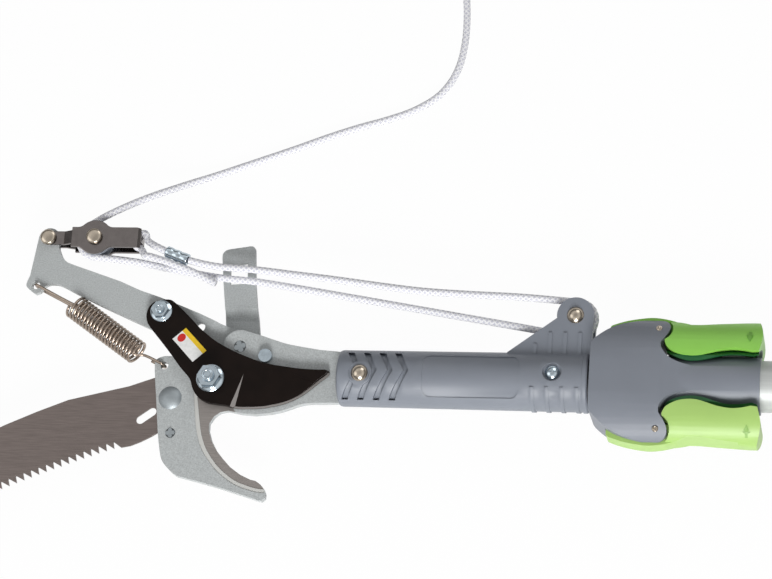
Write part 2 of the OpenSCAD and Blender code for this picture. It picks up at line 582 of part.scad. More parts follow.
module sheave() rotate_extrude() difference() {
    translate([sheave_axle_d / 2 + pin_clear, -sheave_w / 2])
        square([sheave_pitch_r - 0.3 - sheave_axle_d / 2 - pin_clear, sheave_w]);
    translate([sheave_pitch_r, 0]) circle(r = rope_d / 2 + 0.15);
}
module block_sheave() color(plastic_grey) at(block_axle_point) sheave();

// Rope held by the object: becket loop, two spans and the turns round the sheaves
rope_turn_cut = 1.6;
module rope_turn(centre, from, to) color(rope_white) at(centre) rotate(from + rope_turn_cut)
    rotate_extrude(angle = to - from - 2 * rope_turn_cut) translate([sheave_pitch_r, 0]) circle(d = rope_d, $fn = 24);
rope_sides = 8;
head_wrap_from = -98.9;
head_wrap_to = 87.3;
block_wrap_from = 121;
block_wrap_to = 265;
function on_sheave(centre, a) = centre + sheave_pitch_r * [cos(a), sin(a)];
function flat(p, z = 0) = [p.x, p.y, z];
function flats(points) = [for (p = points) flat(p)];
module rope_head_wrap() rope_turn(head_axle_point, head_wrap_from, head_wrap_to);
module rope_block_wrap() rope_turn(block_axle_point, block_wrap_from, block_wrap_to);
ferrule_ends = [[-119, 81.2], [-104.4, 75.6]];
upper_start = ferrule_ends[1] + [0.5, -0.15];
upper_end = on_sheave(head_axle_point, head_wrap_to);
upper_points = [[-94, 73.2], [-82.8, 71.7], [-60.5, 70.8], [-36, 68.4], [-11.8, 65.8], [18, 62], [48, 58.6],
    [80, 56.8], [110.7, 55.6]];
lower_start = on_sheave(block_axle_point, block_wrap_to);
lower_end = on_sheave(head_axle_point, head_wrap_from);
lower_points = [[-151, 76.8], [-137.5, 75.2], [-120.7, 72.2], [-93.8, 67.5], [-78, 65.3], [-60, 63.7], [-36, 60], [-11, 55.9],
    [32, 48.8], [65, 43.4], [92, 39], [120, 34.4]];
module rope_span_upper() color(rope_white)
    tube(curve(flats(concat([upper_start], upper_points, [upper_end])), 2), rope_d / 2, rope_sides);
module rope_span_lower() color(rope_white)
    tube(curve(flats(concat([lower_start], lower_points, [lower_end])), 2), rope_d / 2, rope_sides);
// The loop runs from the ferrule round the block's end web and back, and its cut tail lies below
web_mid = [block_pivot.x + block_len - strap_t / 2, block_pivot.y];
web_clear = strap_t / 2 + rope_d / 2 + 0.65;
web_over = web_half_w + rope_d / 2 + 0.55;
function by_web(x, y, z = 0) = [web_mid.x + x, web_mid.y + y, z];
module rope_becket() color(rope_white)
    tube(curve([[ferrule_ends[0].x - 0.4, ferrule_ends[0].y + 0.15, 0], [-125.1, 84.3, 0], [-130.5, 87.6, 0],
        by_web(web_clear, 0.6), by_web(web_clear - 1.2, 4.4), by_web(0, web_over), by_web(1.2 - web_clear, 4.4),
        by_web(-web_clear, 0), by_web(1.2 - web_clear, -4.2), by_web(0, -web_over - 0.1, 0.4),
        by_web(2.6, -8.4, 2.1), by_web(4.6, -11.5, 3.8), [-130, 77.9, 4.7], [-122.3, 75.5, 5.1],
        [-114, 72.6, 5.2], [-99.6, 67.2, 5.2], [-85, 60, 4.9]], 3), rope_d / 2, rope_sides);
module rope_ferrule() color(zinc) {
    a = flat(ferrule_ends[0]);
    b = flat(ferrule_ends[1]);
    translate(a) rotate(atan2(b.y - a.y, b.x - a.x)) rotate([0, 90, 0]) cylinder(d = 7.6, h = norm(b - a));
}

// Free rope: down from the block to the ground, across it, and put away as a tied hank
ground = -housing_half_t;
rope_rest = ground + rope_d / 2;
hank_rest = rope_rest + 1.2;
hank_middle = [0, 324];
lead_points = [flat(on_sheave(block_axle_point, block_wrap_from)), [-166, 105, 0], [-158, 109.8, -0.6],
    [-149, 115.2, -2.4], [-140, 120.6, -5.2]];
fall_points = [[-139.5, 120.9, -5.4], [-131, 125.8, -8.6], [-121, 131.2, -12.4], [-110, 136.6, -15.8],
    [-98, 141.6, -18], [-84, 147, rope_rest], [-66, 153.6, rope_rest], [-46, 161, rope_rest],
    [-24, 169.6, rope_rest], [-4, 176.6, rope_rest], [14, 182, rope_rest], [32, 189, rope_rest],
    [48, 200, rope_rest], [58, 216, rope_rest], [62, 236, rope_rest], [62, 258, rope_rest],
    [59.5, 280, rope_rest], [57, 298, hank_rest], [56, 311, hank_rest], [56, hank_middle.y - 0.9, hank_rest]];
module rope_lead() color(rope_white) tube(curve(lead_points, 2), rope_d / 2, rope_sides);
module rope_fall() color(rope_white)
    tube([for (p = curve(fall_points, 2)) [p.x, p.y, max(p.z, rope_rest)]], rope_d / 2, rope_sides);
// Hank: flat loops that spiral in on the ground and out again on top, with a tail that ends in a knot
hank_half = 41;
hank_first_w = 6;
hank_loops = 3;
hank_step = rope_d + 0.5;
hank_rings = 24;
hank_turns = 2 * hank_loops + 0.5;
function hank_point(turns, out, z) = let (w = hank_first_w + hank_step * out,
        x = cos(360 * turns), y = sin(360 * turns))
    [hank_middle.x + (hank_half - hank_first_w + w) * sign(x) * pow(abs(x), 0.6),
     hank_middle.y + w * sign(y) * pow(abs(y), 0.85), z];
function hank_out(turns) = turns < hank_loops ? hank_loops - turns : max(0, turns - hank_loops - 0.5);
function hank_path() = concat(
    [for (i = [0:hank_turns * hank_rings]) let (t = i / hank_rings)
        hank_point(t, hank_out(t), hank_rest + hank_step * min(1, max(0, 2 * (t - hank_loops))))],
    [for (p = [[-57.5, -9, 4.6], [-60.5, -19, 3], [-63.5, -29, 0.8], [-65, -36, -1]])
        [hank_middle.x + p.x, hank_middle.y + p.y, hank_rest + p.z]]);
module rope_hank() color(rope_white) tube(hank_path(), rope_d / 2, 6);
tie_t = 0.9;
tie_half = hank_first_w + hank_step * hank_loops + rope_d / 2 + 0.3;
module hank_tie() color(rope_white) at([hank_middle.x, hank_middle.y]) difference() {
    slab(ground, hank_rest + hank_step + rope_d / 2 + 0.3 + tie_t) square([6, 2 * (tie_half + tie_t)], center = true);
    slab(ground + tie_t, hank_rest + hank_step + rope_d / 2 + 0.3) square([8, 2 * tie_half], center = true);
}
knot_r = 5.5;
module rope_knot() color(rope_white) translate([hank_middle.x - 66, hank_middle.y - 42, ground + knot_r])
    sphere(r = knot_r);

// Head socket: moulded handle with a slot for the plate, chevron grip, pulley ears and ribs
socket_r = socket_d / 2;
socket_rivet_d = 6;
spigot_d = 31;
spigot_in = 57.5;
chevron_pitch = 10;
chevron_depth = 1.9;
chevron_start = 6;
chevron_w = 4.2;
// One groove of the grip: down from the top to its point, then back to a heel that lies further forward
module chevron(x) translate([x, 0]) polygon([[0, 13.5], [chevron_w, 13.5], [chevron_w + 6, 0.8],
    [chevron_w - 3, -16], [-3, -16], [6.8, 0.8]]);
module socket_skin(depth) difference() {
    along_x(-1, socket_len + 2) circle(r = socket_r + 2);
    along_x(-1, socket_len + 2) circle(r = socket_r - depth);
}
module ear_outline() {
    translate(head_axle_point) circle(r = 11.6);
    polygon([[ear_x - 41.5, 0], [ear_x - 41.5, 16.3], [ear_x - 11.4, ear_y - 2], [ear_x - 4, ear_y + 3], [ear_x + 11.6, ear_y],
        [socket_len + 0.6, 17], [socket_len + 0.6, 0]]);
}
ear_gap = sheave_w + 1;
rib_xs = [for (i = [0:3]) socket_len - 34.3 + 9.3 * i];
screw_back = 21.8;
screw_point = [socket_len - screw_back, 1.8];
module socket_body() {
    rotate([0, 90, 0]) rotate_extrude() polygon(concat([[0, 0]],
        curve([[socket_r - 2.5, 0], [socket_r - 0.8, 0.8], [socket_r - 0.2, 2.5], [socket_r - 0.2, 5]], 3),
        [[socket_r, 60], [socket_r + 0.3, socket_len - 3.4], [socket_r + 0.9, socket_len - 3.2],
            [socket_r + 0.9, socket_len - 1], [socket_r + 0.3, socket_len], [0, socket_len]]));
    for (s = [0, 1]) mirror([0, 0, s]) {
        slab(ear_gap / 2, ear_gap / 2 + ear_t) ear_outline();
        for (x = rib_xs) slab(ear_gap / 2 + ear_t - eps, ear_gap / 2 + ear_t + 0.7)
            translate([x - 1.2, 14]) square([2.4, x == rib_xs[0] ? 8 : 15.5]);
    }
    for (x = rib_xs) intersection() {
        along_x(x - 1.2, 2.4) circle(r = socket_r + 0.9);
        translate([x, -socket_r - 8, 0]) cube([10, 2 * socket_r, 60], center = true);
    }
}
module head_socket() color(plastic_grey) difference() {
    socket_body();
    translate([-1, -shank_w / 2 - 0.1, -frame_t / 2 - 0.05]) cube([shank_end + 1.1, shank_w + 0.2, frame_t + 0.1]);
    along_x(socket_len - spigot_in, socket_len) circle(d = spigot_d);
    translate([socket_len - spigot_in, 17.5, -ear_gap / 2]) cube([80, 60, ear_gap]);
    intersection() {
        socket_skin(chevron_depth);
        for (s = [0, 1]) mirror([0, 0, s]) slab(2, 30) difference() {
            for (i = [0:3]) chevron(chevron_start + chevron_pitch * i);
            translate(socket_rivet_point) circle(r = 7.6);
        }
    }
    intersection() {
        socket_skin(0.5);
        slab(5, 30) rounded_rect([54.5, -14.2], [socket_len - 42.5, 12], 5);
    }
    at(socket_rivet_point, -30) cylinder(d = socket_rivet_d, h = 60);
    at(screw_point, -30) cylinder(d = screw_d, h = 60);
    for (s = [0, 1]) mirror([0, 0, s]) {
        at(screw_point, screw_seat) cylinder(r = 6, h = 10);
        at(socket_rivet_point, socket_rivet_seat) cylinder(r = 6.8, h = 10);
    }
    at(head_axle_point, -30) cylinder(d = sheave_axle_d, h = 60);
}
module rounded_rect(low, high, r) {
    for (x = [low.x + r, high.x - r], y = [low.y + r, high.y - r]) translate([x, y]) circle(r = r);
    translate([low.x + r, low.y]) square([high.x - low.x - 2 * r, high.y - low.y]);
    translate([low.x, low.y + r]) square([high.x - low.x, high.y - low.y - 2 * r]);
}
module socket_rivet() color(warm_nickel) at(socket_rivet_point)
    two_headed_rivet(socket_rivet_d, socket_rivet_seat, 5.4, 3);
socket_rivet_seat = socket_r - 1.2;
screw_d = 5;
screw_seat = socket_r - 2.2;
module socket_screw() color(zinc) at(screw_point) {
    slab(-screw_seat, screw_seat) circle(d = screw_d);
    translate([0, 0, screw_seat]) difference() {
        dome(4.7, 2.4);
        translate([-0.6, -2.6, 1]) cube([1.2, 5.2, 3]);
        translate([-2.6, -0.6, 1]) cube([5.2, 1.2, 3]);
    }
    slab(-screw_seat - 2.7, -screw_seat) hex(8);
}
module head_sheave() color(plastic_grey) at(head_axle_point) sheave();
module head_axle() color(warm_nickel) at(head_axle_point)
    two_headed_rivet(sheave_axle_d, ear_gap / 2 + ear_t, 5.4, 3);

// Connector: the head's spigot is held in the housing by two sprung latch levers. It and the pole are drawn
// from the socket's rear end
module behind_socket() translate([socket_len, 0, 0]) children();
module both_sides() for (s = [0, 1]) mirror([0, s, 0]) children();
housing_start = 1.5;
spigot_end = 50.5;
spigot_wall = 3;
notch_x = [12.1, 20.1];
notch_depth = 1.8;
latch_pivot = [42.8, 32];
latch_pin_d = 4;
latch_half_t = 7;
latch_gap = 0.4;
pivot_boss_r = 8.6;
neck_r = 17.8;
neck_end = 105.5;
module coupling_spigot() color(black_plastic) behind_socket() difference() {
    along_x(-spigot_in, spigot_end + spigot_in) ring(spigot_d, spigot_d - 2 * spigot_wall);
    along_x(notch_x[0], notch_x[1] - notch_x[0]) ring(spigot_d + 1, spigot_d - 2 * notch_depth);
    at([-screw_back, screw_point.y], -30) cylinder(d = screw_d, h = 60);
}
function superellipse(centre, a, b, n) = [for (t = [0:7.5:359]) let (c = cos(t), s = sin(t))
    centre + [a * sign(c) * pow(abs(c), 2 / n), b * sign(s) * pow(abs(s), 2 / n)]];
// Half of the housing seen from the front, and half of it seen from the side
module housing_front_view() polygon(concat([[housing_start, 0], [housing_start, 21.5]],
    curve([[3, 23.6], [9, 29], [16.1, 33.8], [24, 36.8], [32.5, 38.8], [40.5, 39.6], [45.9, 38.6], [49.1, 35.6],
        [49.7, 32], [47.9, 27.6], [45.1, 23.6], [44.5, 20.4], [45.7, 17], [49.5, 12.6], [56.1, 9.6],
        [66, 7.5]], 3), [[66, 0]]));
module housing_side_view() polygon(concat([[0, 0], [0, housing_half_t]],
    curve([[36, housing_half_t], [42, housing_half_t - 0.5], [49, 19.2], [58, 17.4], [66, 15.5]], 3), [[66, 0]]));
module connector_housing() color(plastic_grey) behind_socket() difference() {
    union() {
        intersection() {
            slab(-housing_half_t, housing_half_t) both_sides() housing_front_view();
            along_x(0, 70) polygon(superellipse([0, 0], 41, housing_half_t + 0.5, 2.2));
            rotate([90, 0, 0]) translate([0, 0, -50]) linear_extrude(100) both_sides() housing_side_view();
        }
        along_x(48, neck_end - 48) circle(r = neck_r);
    }
    along_x(housing_start - 1, spigot_end - housing_start + 1) circle(d = spigot_d + 0.2);
    along_x(pole_start, neck_end) circle(d = pole_d);
    along_x(pole_start - 10, 20) circle(d = pole_d - 8);
    both_sides() {
        slab(-latch_half_t - latch_gap, latch_half_t + latch_gap) latch_pocket();
        at(latch_pivot, -30) cylinder(d = latch_pin_d, h = 60);
    }
    at([pole_screw_x, 0], -30) cylinder(d = pole_screw_d, h = 30);
    at([pole_screw_x, 0], -30) cylinder(d = 2 * pole_screw_d, h = 30.4 - neck_r);
}
// Room for the front arm of a latch in the housing's side, open outwards, with a slit for its tongue
module latch_pocket() polygon([[11.6, 10], [11.6, 60], [72.5, 60], [72.5, 23], [47.5, 24.5], [22.5, 24.5],
    [21.5, 10]]);
module latch_arm() polygon(concat([[13.9, 14.3], [19.1, 14.3], [19.9, 26], [23.5, 26.2], [36.5, 26.2], [48.5, 27.5],
    [60, 27.5], [60, 35.8]], curve([[56.1, 37.7], [46.8, 40.1], [38.8, 41], [31.5, 40.4], [22.5, 38.8], [14.5, 36.3],
    [12.3, 35], [12, 33]]), [[13.1, 24]]));
grip_inner_edge = [[50.1, 30.6], [47.7, 27.2], [46.7, 24], [47.3, 21.4], [49.5, 18.4], [55.4, 15.2], [61.6, 14],
    [67.8, 14.2], [73.9, 16], [80.5, 18], [88.5, 19.2], [95.5, 18.6], [100.5, 17.4]];
module grip_front_view() polygon(concat(curve(grip_inner_edge, 3),
    curve([[104.5, 18], [106.5, 26], [106.1, 33], [104.1, 39.6]], 3),
    curve([[92.8, 38], [80.5, 36.8], [68.3, 35.6]]), curve([[62.3, 35.6], [56.1, 37.7], [46.8, 40.1], [38.8, 41]])));
// A low lip runs from the grip's inner edge to the waist of the neck
module lip_front_view() polygon(concat(curve([[46.9, 20.5], [48.6, 16.5], [52, 14.2], [57, 12.2], [62.5, 11.3],
    [68.5, 11.6], [74.5, 13], [80.8, 15], [87.5, 15.9], [96, 15.6], [101, 14.9]], 3), [[104.5, 16], [104.5, 21],
    [48, 24]]));
module grip_hollow() polygon([[58, 17.4], [62, 16.2], [68, 16.4], [74, 18.2], [81, 20.2], [88.5, 21.4], [102, 20],
    [102, 35.2], [90, 34.4], [70, 33], [58, 33.4]]);
grip_middle_y = 13;
grip_half_w = 26.8;
grip_half_t = 18.4;
grip_wall = 2.6;
lip_r = 22;
lip_half_t = 16.4;
module latch_lever() difference() {
    union() {
        slab(-latch_half_t, latch_half_t) latch_arm();
        difference() {
            intersection() {
                slab(-grip_half_t, grip_half_t) grip_front_view();
                along_x(36, 80) polygon(superellipse([grip_middle_y, 0], grip_half_w, grip_half_t, 2.3));
            }
            intersection() {
                slab(-grip_half_t, grip_half_t) grip_hollow();
                along_x(36, 80) polygon(superellipse([grip_middle_y, 0], grip_half_w - grip_wall,
                    grip_half_t - grip_wall, 2.3));
            }
            at(latch_pivot, -30) cylinder(r = pivot_boss_r, h = 60);
        }
        intersection() {
            for (s = [0, 1]) mirror([0, 0, s]) slab(8, lip_half_t) lip_front_view();
            along_x(36, 80) circle(r = lip_r);
        }
    }
    // Room for the neck at rest and when pressed
    for (a = [0, latch_travel]) at(latch_pivot) rotate(a) translate([-latch_pivot.x, -latch_pivot.y, 0])
        along_x(30, 90) circle(r = neck_r + latch_gap);
    at(latch_pivot, -20) cylinder(d = latch_pin_d + 2 * pin_clear, h = 40);
}
module latch_lever_upper() color(upper_green) behind_socket() latch_lever();
module latch_lever_lower() color(lower_green) behind_socket() mirror([0, 1, 0]) latch_lever();
latch_pin_out = 14;
module latch_pins() color(warm_nickel) behind_socket() both_sides() at(latch_pivot)
    slab(-latch_pin_out, latch_pin_out) circle(d = latch_pin_d);
// Each latch spring stands on the neck and pushes the grip out
latch_spring_x = 79;
latch_spring_d = 6;
latch_spring_wire = 0.9;
latch_spring_turns = 6;
latch_spring_end = 33.5;
latch_spring_foot = neck_r + latch_spring_wire / 2 + 0.05;
latch_coil_r = (latch_spring_d - latch_spring_wire) / 2;
latch_spring_len = latch_spring_end - latch_spring_wire / 2 - latch_spring_foot;
echo(str("least gap between turns of a latch spring: ", latch_spring_len / latch_spring_turns - latch_spring_wire, " mm"));
module latch_spring() tube([for (i = [0:latch_spring_turns * coil_rings]) let (a = 360 * i / coil_rings)
    [latch_spring_x + latch_coil_r * cos(a), latch_spring_foot + latch_spring_len * i / (latch_spring_turns * coil_rings),
        latch_coil_r * sin(a)]], latch_spring_wire / 2, 5);
module latch_spring_upper() color(spring_steel) behind_socket() latch_spring();
module latch_spring_lower() color(spring_steel) behind_socket() mirror([0, 1, 0]) latch_spring();

// Pole, its screw, grip sleeve and end cap with a hanging hole
pole_screw_x = 82.5;
pole_screw_d = 4;
module pole_tube() color(aluminium) behind_socket() difference() {
    along_x(pole_start, pole_len) ring(pole_d, pole_d - 2 * pole_wall);
    at([pole_screw_x, 0], -30) cylinder(d = pole_screw_d, h = 30);
}
module pole_screw() color(zinc) behind_socket() at([pole_screw_x, 0]) {
    slab(-neck_r - 0.2, -pole_d / 2 + pole_wall + 2) circle(d = pole_screw_d);
    slab(-neck_r - 2.4, -neck_r + 0.4) circle(d = 2 * pole_screw_d);
}
pole_stop = pole_start + pole_len;
cap_socket = 12;
grip_wall_t = 2.5;
grip_end = pole_stop - cap_socket;
module pole_grip() color(black_plastic) behind_socket() along_x(grip_end - grip_len, grip_len)
    ring(pole_d + 2 * grip_wall_t, pole_d);
cap_plug = 24;
tab_r = 11;
tab_t = 8;
module pole_end_cap() color(black_plastic) behind_socket() difference() {
    union() {
        along_x(grip_end + eps, cap_plug) circle(r = housing_half_t);
        hull() {
            translate([pole_stop + cap_plug - cap_socket - 1, -14, -tab_t / 2]) cube([1, 28, tab_t]);
            translate([cap_end - tab_r, 0, -tab_t / 2]) cylinder(r = tab_r, h = tab_t, $fn = 32);
        }
    }
    along_x(grip_end - 1, cap_socket + 1) circle(d = pole_d);
    translate([cap_end - tab_r, 0, -tab_t]) cylinder(d = hang_d, h = 2 * tab_t);
}

place() frame_plate();
place() saw_blade();
place() saw_bolt();
place() saw_washer();
place() saw_wing_nut();
place() saw_stop_rivet();
place() cutting_blade();
place() blade_pivot_bolt();
place() blade_pivot_nut();
place() lever_arm();
place() lever_pin();
place() lever_spacer();
place() guide_spacer();
place() stop_pin();
place() rope_guide();
place() link_bolt();
place() link_washer();
place() link_nut();
place() return_spring();
place() spring_hook();
place() block_strap();
place() block_rivet();
place() block_axle();
place() block_sheave();
place() rope_ferrule();
place() rope_becket();
place() rope_span_upper();
place() rope_span_lower();
place() rope_head_wrap();
place() rope_block_wrap();
place() rope_lead();
place() rope_fall();
place() rope_hank();
place() hank_tie();
place() rope_knot();
place() head_socket();
place() socket_rivet();
place() socket_screw();
place() head_sheave();
place() head_axle();
place() coupling_spigot();
place() connector_housing();
place() latch_lever_upper();
place() latch_lever_lower();
place() latch_pins();
place() latch_spring_upper();
place() latch_spring_lower();
place() pole_tube();
place() pole_screw();
place() pole_grip();
place() pole_end_cap();
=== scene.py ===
import json
import math

import bmesh
import bpy
from mathutils import Matrix, Vector


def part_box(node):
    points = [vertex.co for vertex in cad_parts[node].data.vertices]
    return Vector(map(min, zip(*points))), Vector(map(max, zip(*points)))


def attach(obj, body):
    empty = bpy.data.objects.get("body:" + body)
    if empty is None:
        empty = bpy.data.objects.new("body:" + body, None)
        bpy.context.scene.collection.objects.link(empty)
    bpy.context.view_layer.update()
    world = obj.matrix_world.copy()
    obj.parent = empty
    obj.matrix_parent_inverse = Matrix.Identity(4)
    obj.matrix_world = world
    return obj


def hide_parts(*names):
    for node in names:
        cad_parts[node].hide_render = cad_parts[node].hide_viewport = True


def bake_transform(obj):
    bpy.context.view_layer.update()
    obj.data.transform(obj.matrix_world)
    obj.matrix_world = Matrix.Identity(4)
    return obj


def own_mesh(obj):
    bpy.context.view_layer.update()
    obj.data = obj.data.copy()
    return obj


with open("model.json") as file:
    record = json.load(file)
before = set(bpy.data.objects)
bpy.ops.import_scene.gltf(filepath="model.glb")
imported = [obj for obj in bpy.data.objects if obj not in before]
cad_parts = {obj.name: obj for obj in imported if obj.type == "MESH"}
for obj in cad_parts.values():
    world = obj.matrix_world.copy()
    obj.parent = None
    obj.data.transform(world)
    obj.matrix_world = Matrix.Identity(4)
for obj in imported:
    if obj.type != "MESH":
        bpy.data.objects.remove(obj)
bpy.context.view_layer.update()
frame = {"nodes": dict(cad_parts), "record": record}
print("frame loaded,", len(frame["nodes"]), "pieces")

poleLow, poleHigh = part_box("pole_tube")
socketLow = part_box("head_socket")[0]
# the place where the pole's axis meets the mouth of the head socket
socketMouth = Vector((socketLow.x, (poleLow.y + poleHigh.y) / 2, (poleLow.z + poleHigh.z) / 2))


def spot(x, y, z=0.0):
    # millimetres from the socket's mouth, along, across and above the pole's axis
    return socketMouth + Vector((x, y, z)) / 1000


def spots(points):
    return [spot(*p) for p in points]


def vectors(points):
    return [Vector(p) for p in points]


def addObject(name, data):
    thing = bpy.data.objects.new(name, data)
    bpy.context.scene.collection.objects.link(thing)
    return thing


# camera at the photograph's angle, and a pale studio
cameraSetup = {"back": (0.19, -0.33, 1.0), "target": (24.9, 59.3, 0.0), "distance": 1.9, "roll": 4.2,
               "lens": 139.8, "sensor": 36, "clip": (0.01, 50)}
floorSetup = {"size": 12.0, "level": -0.0002, "white": 0.93, "glow": 0.97}
lampSetup = {
    "key": {"place": (0.35, -2.2, 1.3), "size": 1.1, "power": 62.0},
    "fill": {"place": (-1.7, -0.3, 1.5), "size": 1.6, "power": 7.0},
    "rim": {"place": (0.9, 1.7, 1.3), "size": 1.2, "power": 8.0},
}
lampAim = (0, 20)
white = (1, 1, 1, 1)
# what metal sees of the studio, by height: horizon, dark wall, bright panels, ceiling
skySetup = {"ambient": 0.22,
            "seen": ((0.0, 0.8), (0.22, 0.34), (0.48, 0.14), (0.66, 0.95), (0.82, 1.0), (0.92, 0.72),
                     (1.0, 0.55))}


def placeCamera():
    back = Vector(cameraSetup["back"]).normalized()
    up = (Vector((0, 1, 0)) - back * back.y).normalized()
    side = up.cross(back)
    roll = math.radians(cameraSetup["roll"])
    right = side * math.cos(roll) + up * math.sin(roll)
    top = up * math.cos(roll) - side * math.sin(roll)
    data = bpy.data.cameras.new("camera")
    data.lens = cameraSetup["lens"]
    data.sensor_width = cameraSetup["sensor"]
    data.sensor_fit = "HORIZONTAL"
    data.clip_start, data.clip_end = cameraSetup["clip"]
    camera = addObject("camera", data)
    where = spot(*cameraSetup["target"]) + back * cameraSetup["distance"]
    turn = Matrix((right, top, back)).transposed().to_4x4()
    camera.matrix_world = Matrix.Translation(where) @ turn
    bpy.context.scene.camera = camera


def newMaterial(name):
    material = bpy.data.materials.new(name)
    material.use_nodes = True
    material.node_tree.nodes.clear()
    return material, material.node_tree


def fillInputs(tree, node, inputs):
    # each input gets a value or another node's output
    for name, value in inputs.items():
        if isinstance(value, bpy.types.NodeSocket):
            tree.links.new(value, node.inputs[name])
        else:
            node.inputs[name].default_value = value


def addNode(tree, kind, inputs=()):
    node = tree.nodes.new("ShaderNode" + kind)
    fillInputs(tree, node, dict(inputs))
    return node


def mathNode(tree, operation, *values):
    node = addNode(tree, "Math")
    node.operation = operation
    fillInputs(tree, node, dict(enumerate(values)))
    return node.outputs[0]


def layFloor():
    mesh = bmesh.new()
    bmesh.ops.create_grid(mesh, x_segments=1, y_segments=1, size=floorSetup["size"] / 2)
    data = bpy.data.meshes.new("floor")
    mesh.to_mesh(data)
    mesh.free()
    floor = addObject("floor", data)
    floor.location = (0, 0, floorSetup["level"])
    material, tree = newMaterial("floorPaper")
    paper = addNode(tree, "BsdfDiffuse", {"Color": (floorSetup["white"],) * 3 + (1,)})
    glow = addNode(tree, "Emission", {"Color": white})
    rays = addNode(tree, "LightPath").outputs
    seen = mathNode(tree, "MAXIMUM", rays["Is Camera Ray"], rays["Is Glossy Ray"])
    seen = mathNode(tree, "MAXIMUM", seen, rays["Is Transmission Ray"])
    blend = addNode(tree, "MixShader", {"Fac": mathNode(tree, "MULTIPLY", seen, floorSetup["glow"]),
                                        1: paper.outputs[0], 2: glow.outputs[0]})
    addNode(tree, "OutputMaterial", {"Surface": blend.outputs[0]})
    data.materials.append(material)


def lightStudio():
    for name, lamp in lampSetup.items():
        data = bpy.data.lights.new(name, "AREA")
        data.shape = "DISK"
        data.size = lamp["size"]
        data.energy = lamp["power"]
        light = addObject(name, data)
        light.location = spot(0, 0) + Vector(lamp["place"])
        light.rotation_euler = (spot(*lampAim) - light.location).to_track_quat("-Z", "Y").to_euler()
    world = bpy.data.worlds.new("studio")
    bpy.context.scene.world = world
    world.use_nodes = True
    tree = world.node_tree
    tree.nodes.clear()
    rays = addNode(tree, "LightPath").outputs
    direction = addNode(tree, "TexCoord")
    apart = addNode(tree, "SeparateXYZ", {0: direction.outputs["Generated"]})
    panels = addNode(tree, "ValToRGB", {"Fac": apart.outputs["Z"]})
    stops = panels.color_ramp.elements
    for place, _ in skySetup["seen"][1:-1]:
        stops.new(place)
    for stop, (place, level) in zip(stops, skySetup["seen"]):
        stop.position = place
        stop.color = (level, level, level, 1)
    shells = ((white, skySetup["ambient"]), (panels.outputs["Color"], 1.0), (white, 1.0))
    sky, seen, plain = (addNode(tree, "Background", {"Color": colour, "Strength": level}).outputs[0]
                        for colour, level in shells)
    clear = mathNode(tree, "MAXIMUM", rays["Is Camera Ray"], rays["Is Transmission Ray"])
    for mask, shell in ((rays["Is Glossy Ray"], seen), (clear, plain)):
        sky = addNode(tree, "MixShader", {"Fac": mask, 1: sky, 2: shell}).outputs[0]
    addNode(tree, "OutputWorld", {"Surface": sky})
    bpy.context.scene.view_settings.view_transform = "Standard"


placeCamera()
layFloor()
lightStudio()
print("camera, floor and lights set")


# finishes: the grain of each by scale, detail, stretch and turn in degrees
grains = {
    "platedCloud": (260, 4), "platedDetail": 3, "mouldedCloud": (38, 3), "mouldedFine": (2200, 2),
    "paintFleck": (1300, 3), "paintCloud": (55, 3), "groundLines": (150, 3, (1, 14, 1), 60),
    "sawLines": (90, 5, (1, 26, 1), 22), "bladeCloud": (70, 4), "bladeFine": (900, 3, (1, 6, 1), -30),
    "poleLines": (260, 4, (0.05, 6, 6)), "ropeFibre": (2600, 3), "labelFine": (500, 3),
}
# how smooth and how rough the grain makes a finish, how high it stands in metres and how strongly it shows;
# where the finish is plated or moulded the first two are shares of its own roughness
grainLook = {
    "plated": (0.75, 1.4, 0.00003, 0.5), "moulded": (0.85, 1.15, 0.00003, 0.5),
    "paint": (0.36, 0.55, 0.00008, 0.6), "saw": (0.32, 0.44, 0.00002, 0.5),
    "blade": (0.28, 0.42, 0.00002, 0.5), "pole": (0.4, 0.55, 0.00002, 0.5),
    "rope": (0.65, 0.85, 0.0001, 0.35), "label": (0.34, 0.5, 0.00002, 0.4),
}
# how much darker and lighter the grain makes a finish's colour
grainShades = {"paint": (0.8, 1.16), "ground": (0.88, 1.1), "saw": (0.86, 1.14), "blade": (0.75, 1.35),
               "pole": (0.9, 1.05), "label": (0.92, 1.04)}
# each finish's own roughness, and where it isn't the usual one its metal share and its gloss
ownLook = {"paint": (0.42,), "saw": (0.36, 1.0), "blade": (0.34, 0.0, 0.1), "pole": (0.5, 0.25),
           "rope": (0.75, 0.0, 0.25), "label": (0.4,)}
# how far up a surface has to face to count as level
levelFacing = 0.8
mouldedVariation = 0.035
# how near the pole's axis the painted shade on the latches' inner flanks reaches, in metres
flankShadeReach = 0.0225


def tint(red, green, blue):
    # screen colour, 0 to 255, to the renderer's linear colour
    shades = [c / 255 for c in (red, green, blue)]
    return tuple(c / 12.92 if c <= 0.04045 else ((c + 0.055) / 1.055) ** 2.4 for c in shades) + (1.0,)


def shade(colour, factor):
    return tuple(min(1.0, c * factor) for c in colour[:3]) + (1.0,)


def shaderStart(name, colour, roughness, metallic=0.0, gloss=0.5):
    material, tree = newMaterial(name)
    shader = addNode(tree, "BsdfPrincipled", {"Base Color": colour, "Roughness": roughness,
                                              "Metallic": metallic, "Specular IOR Level": gloss})
    addNode(tree, "OutputMaterial", {"Surface": shader.outputs["BSDF"]})
    return material, tree, shader


def noiseAt(tree, scale, detail, stretch=(1, 1, 1), turn=0.0):
    place = addNode(tree, "TexCoord")
    mapping = addNode(tree, "Mapping", {"Vector": place.outputs["Object"], "Scale": stretch,
                                        "Rotation": (0, 0, math.radians(turn))})
    noise = addNode(tree, "TexNoise", {"Vector": mapping.outputs["Vector"], "Scale": scale,
                                       "Detail": detail})
    return noise.outputs["Fac"]


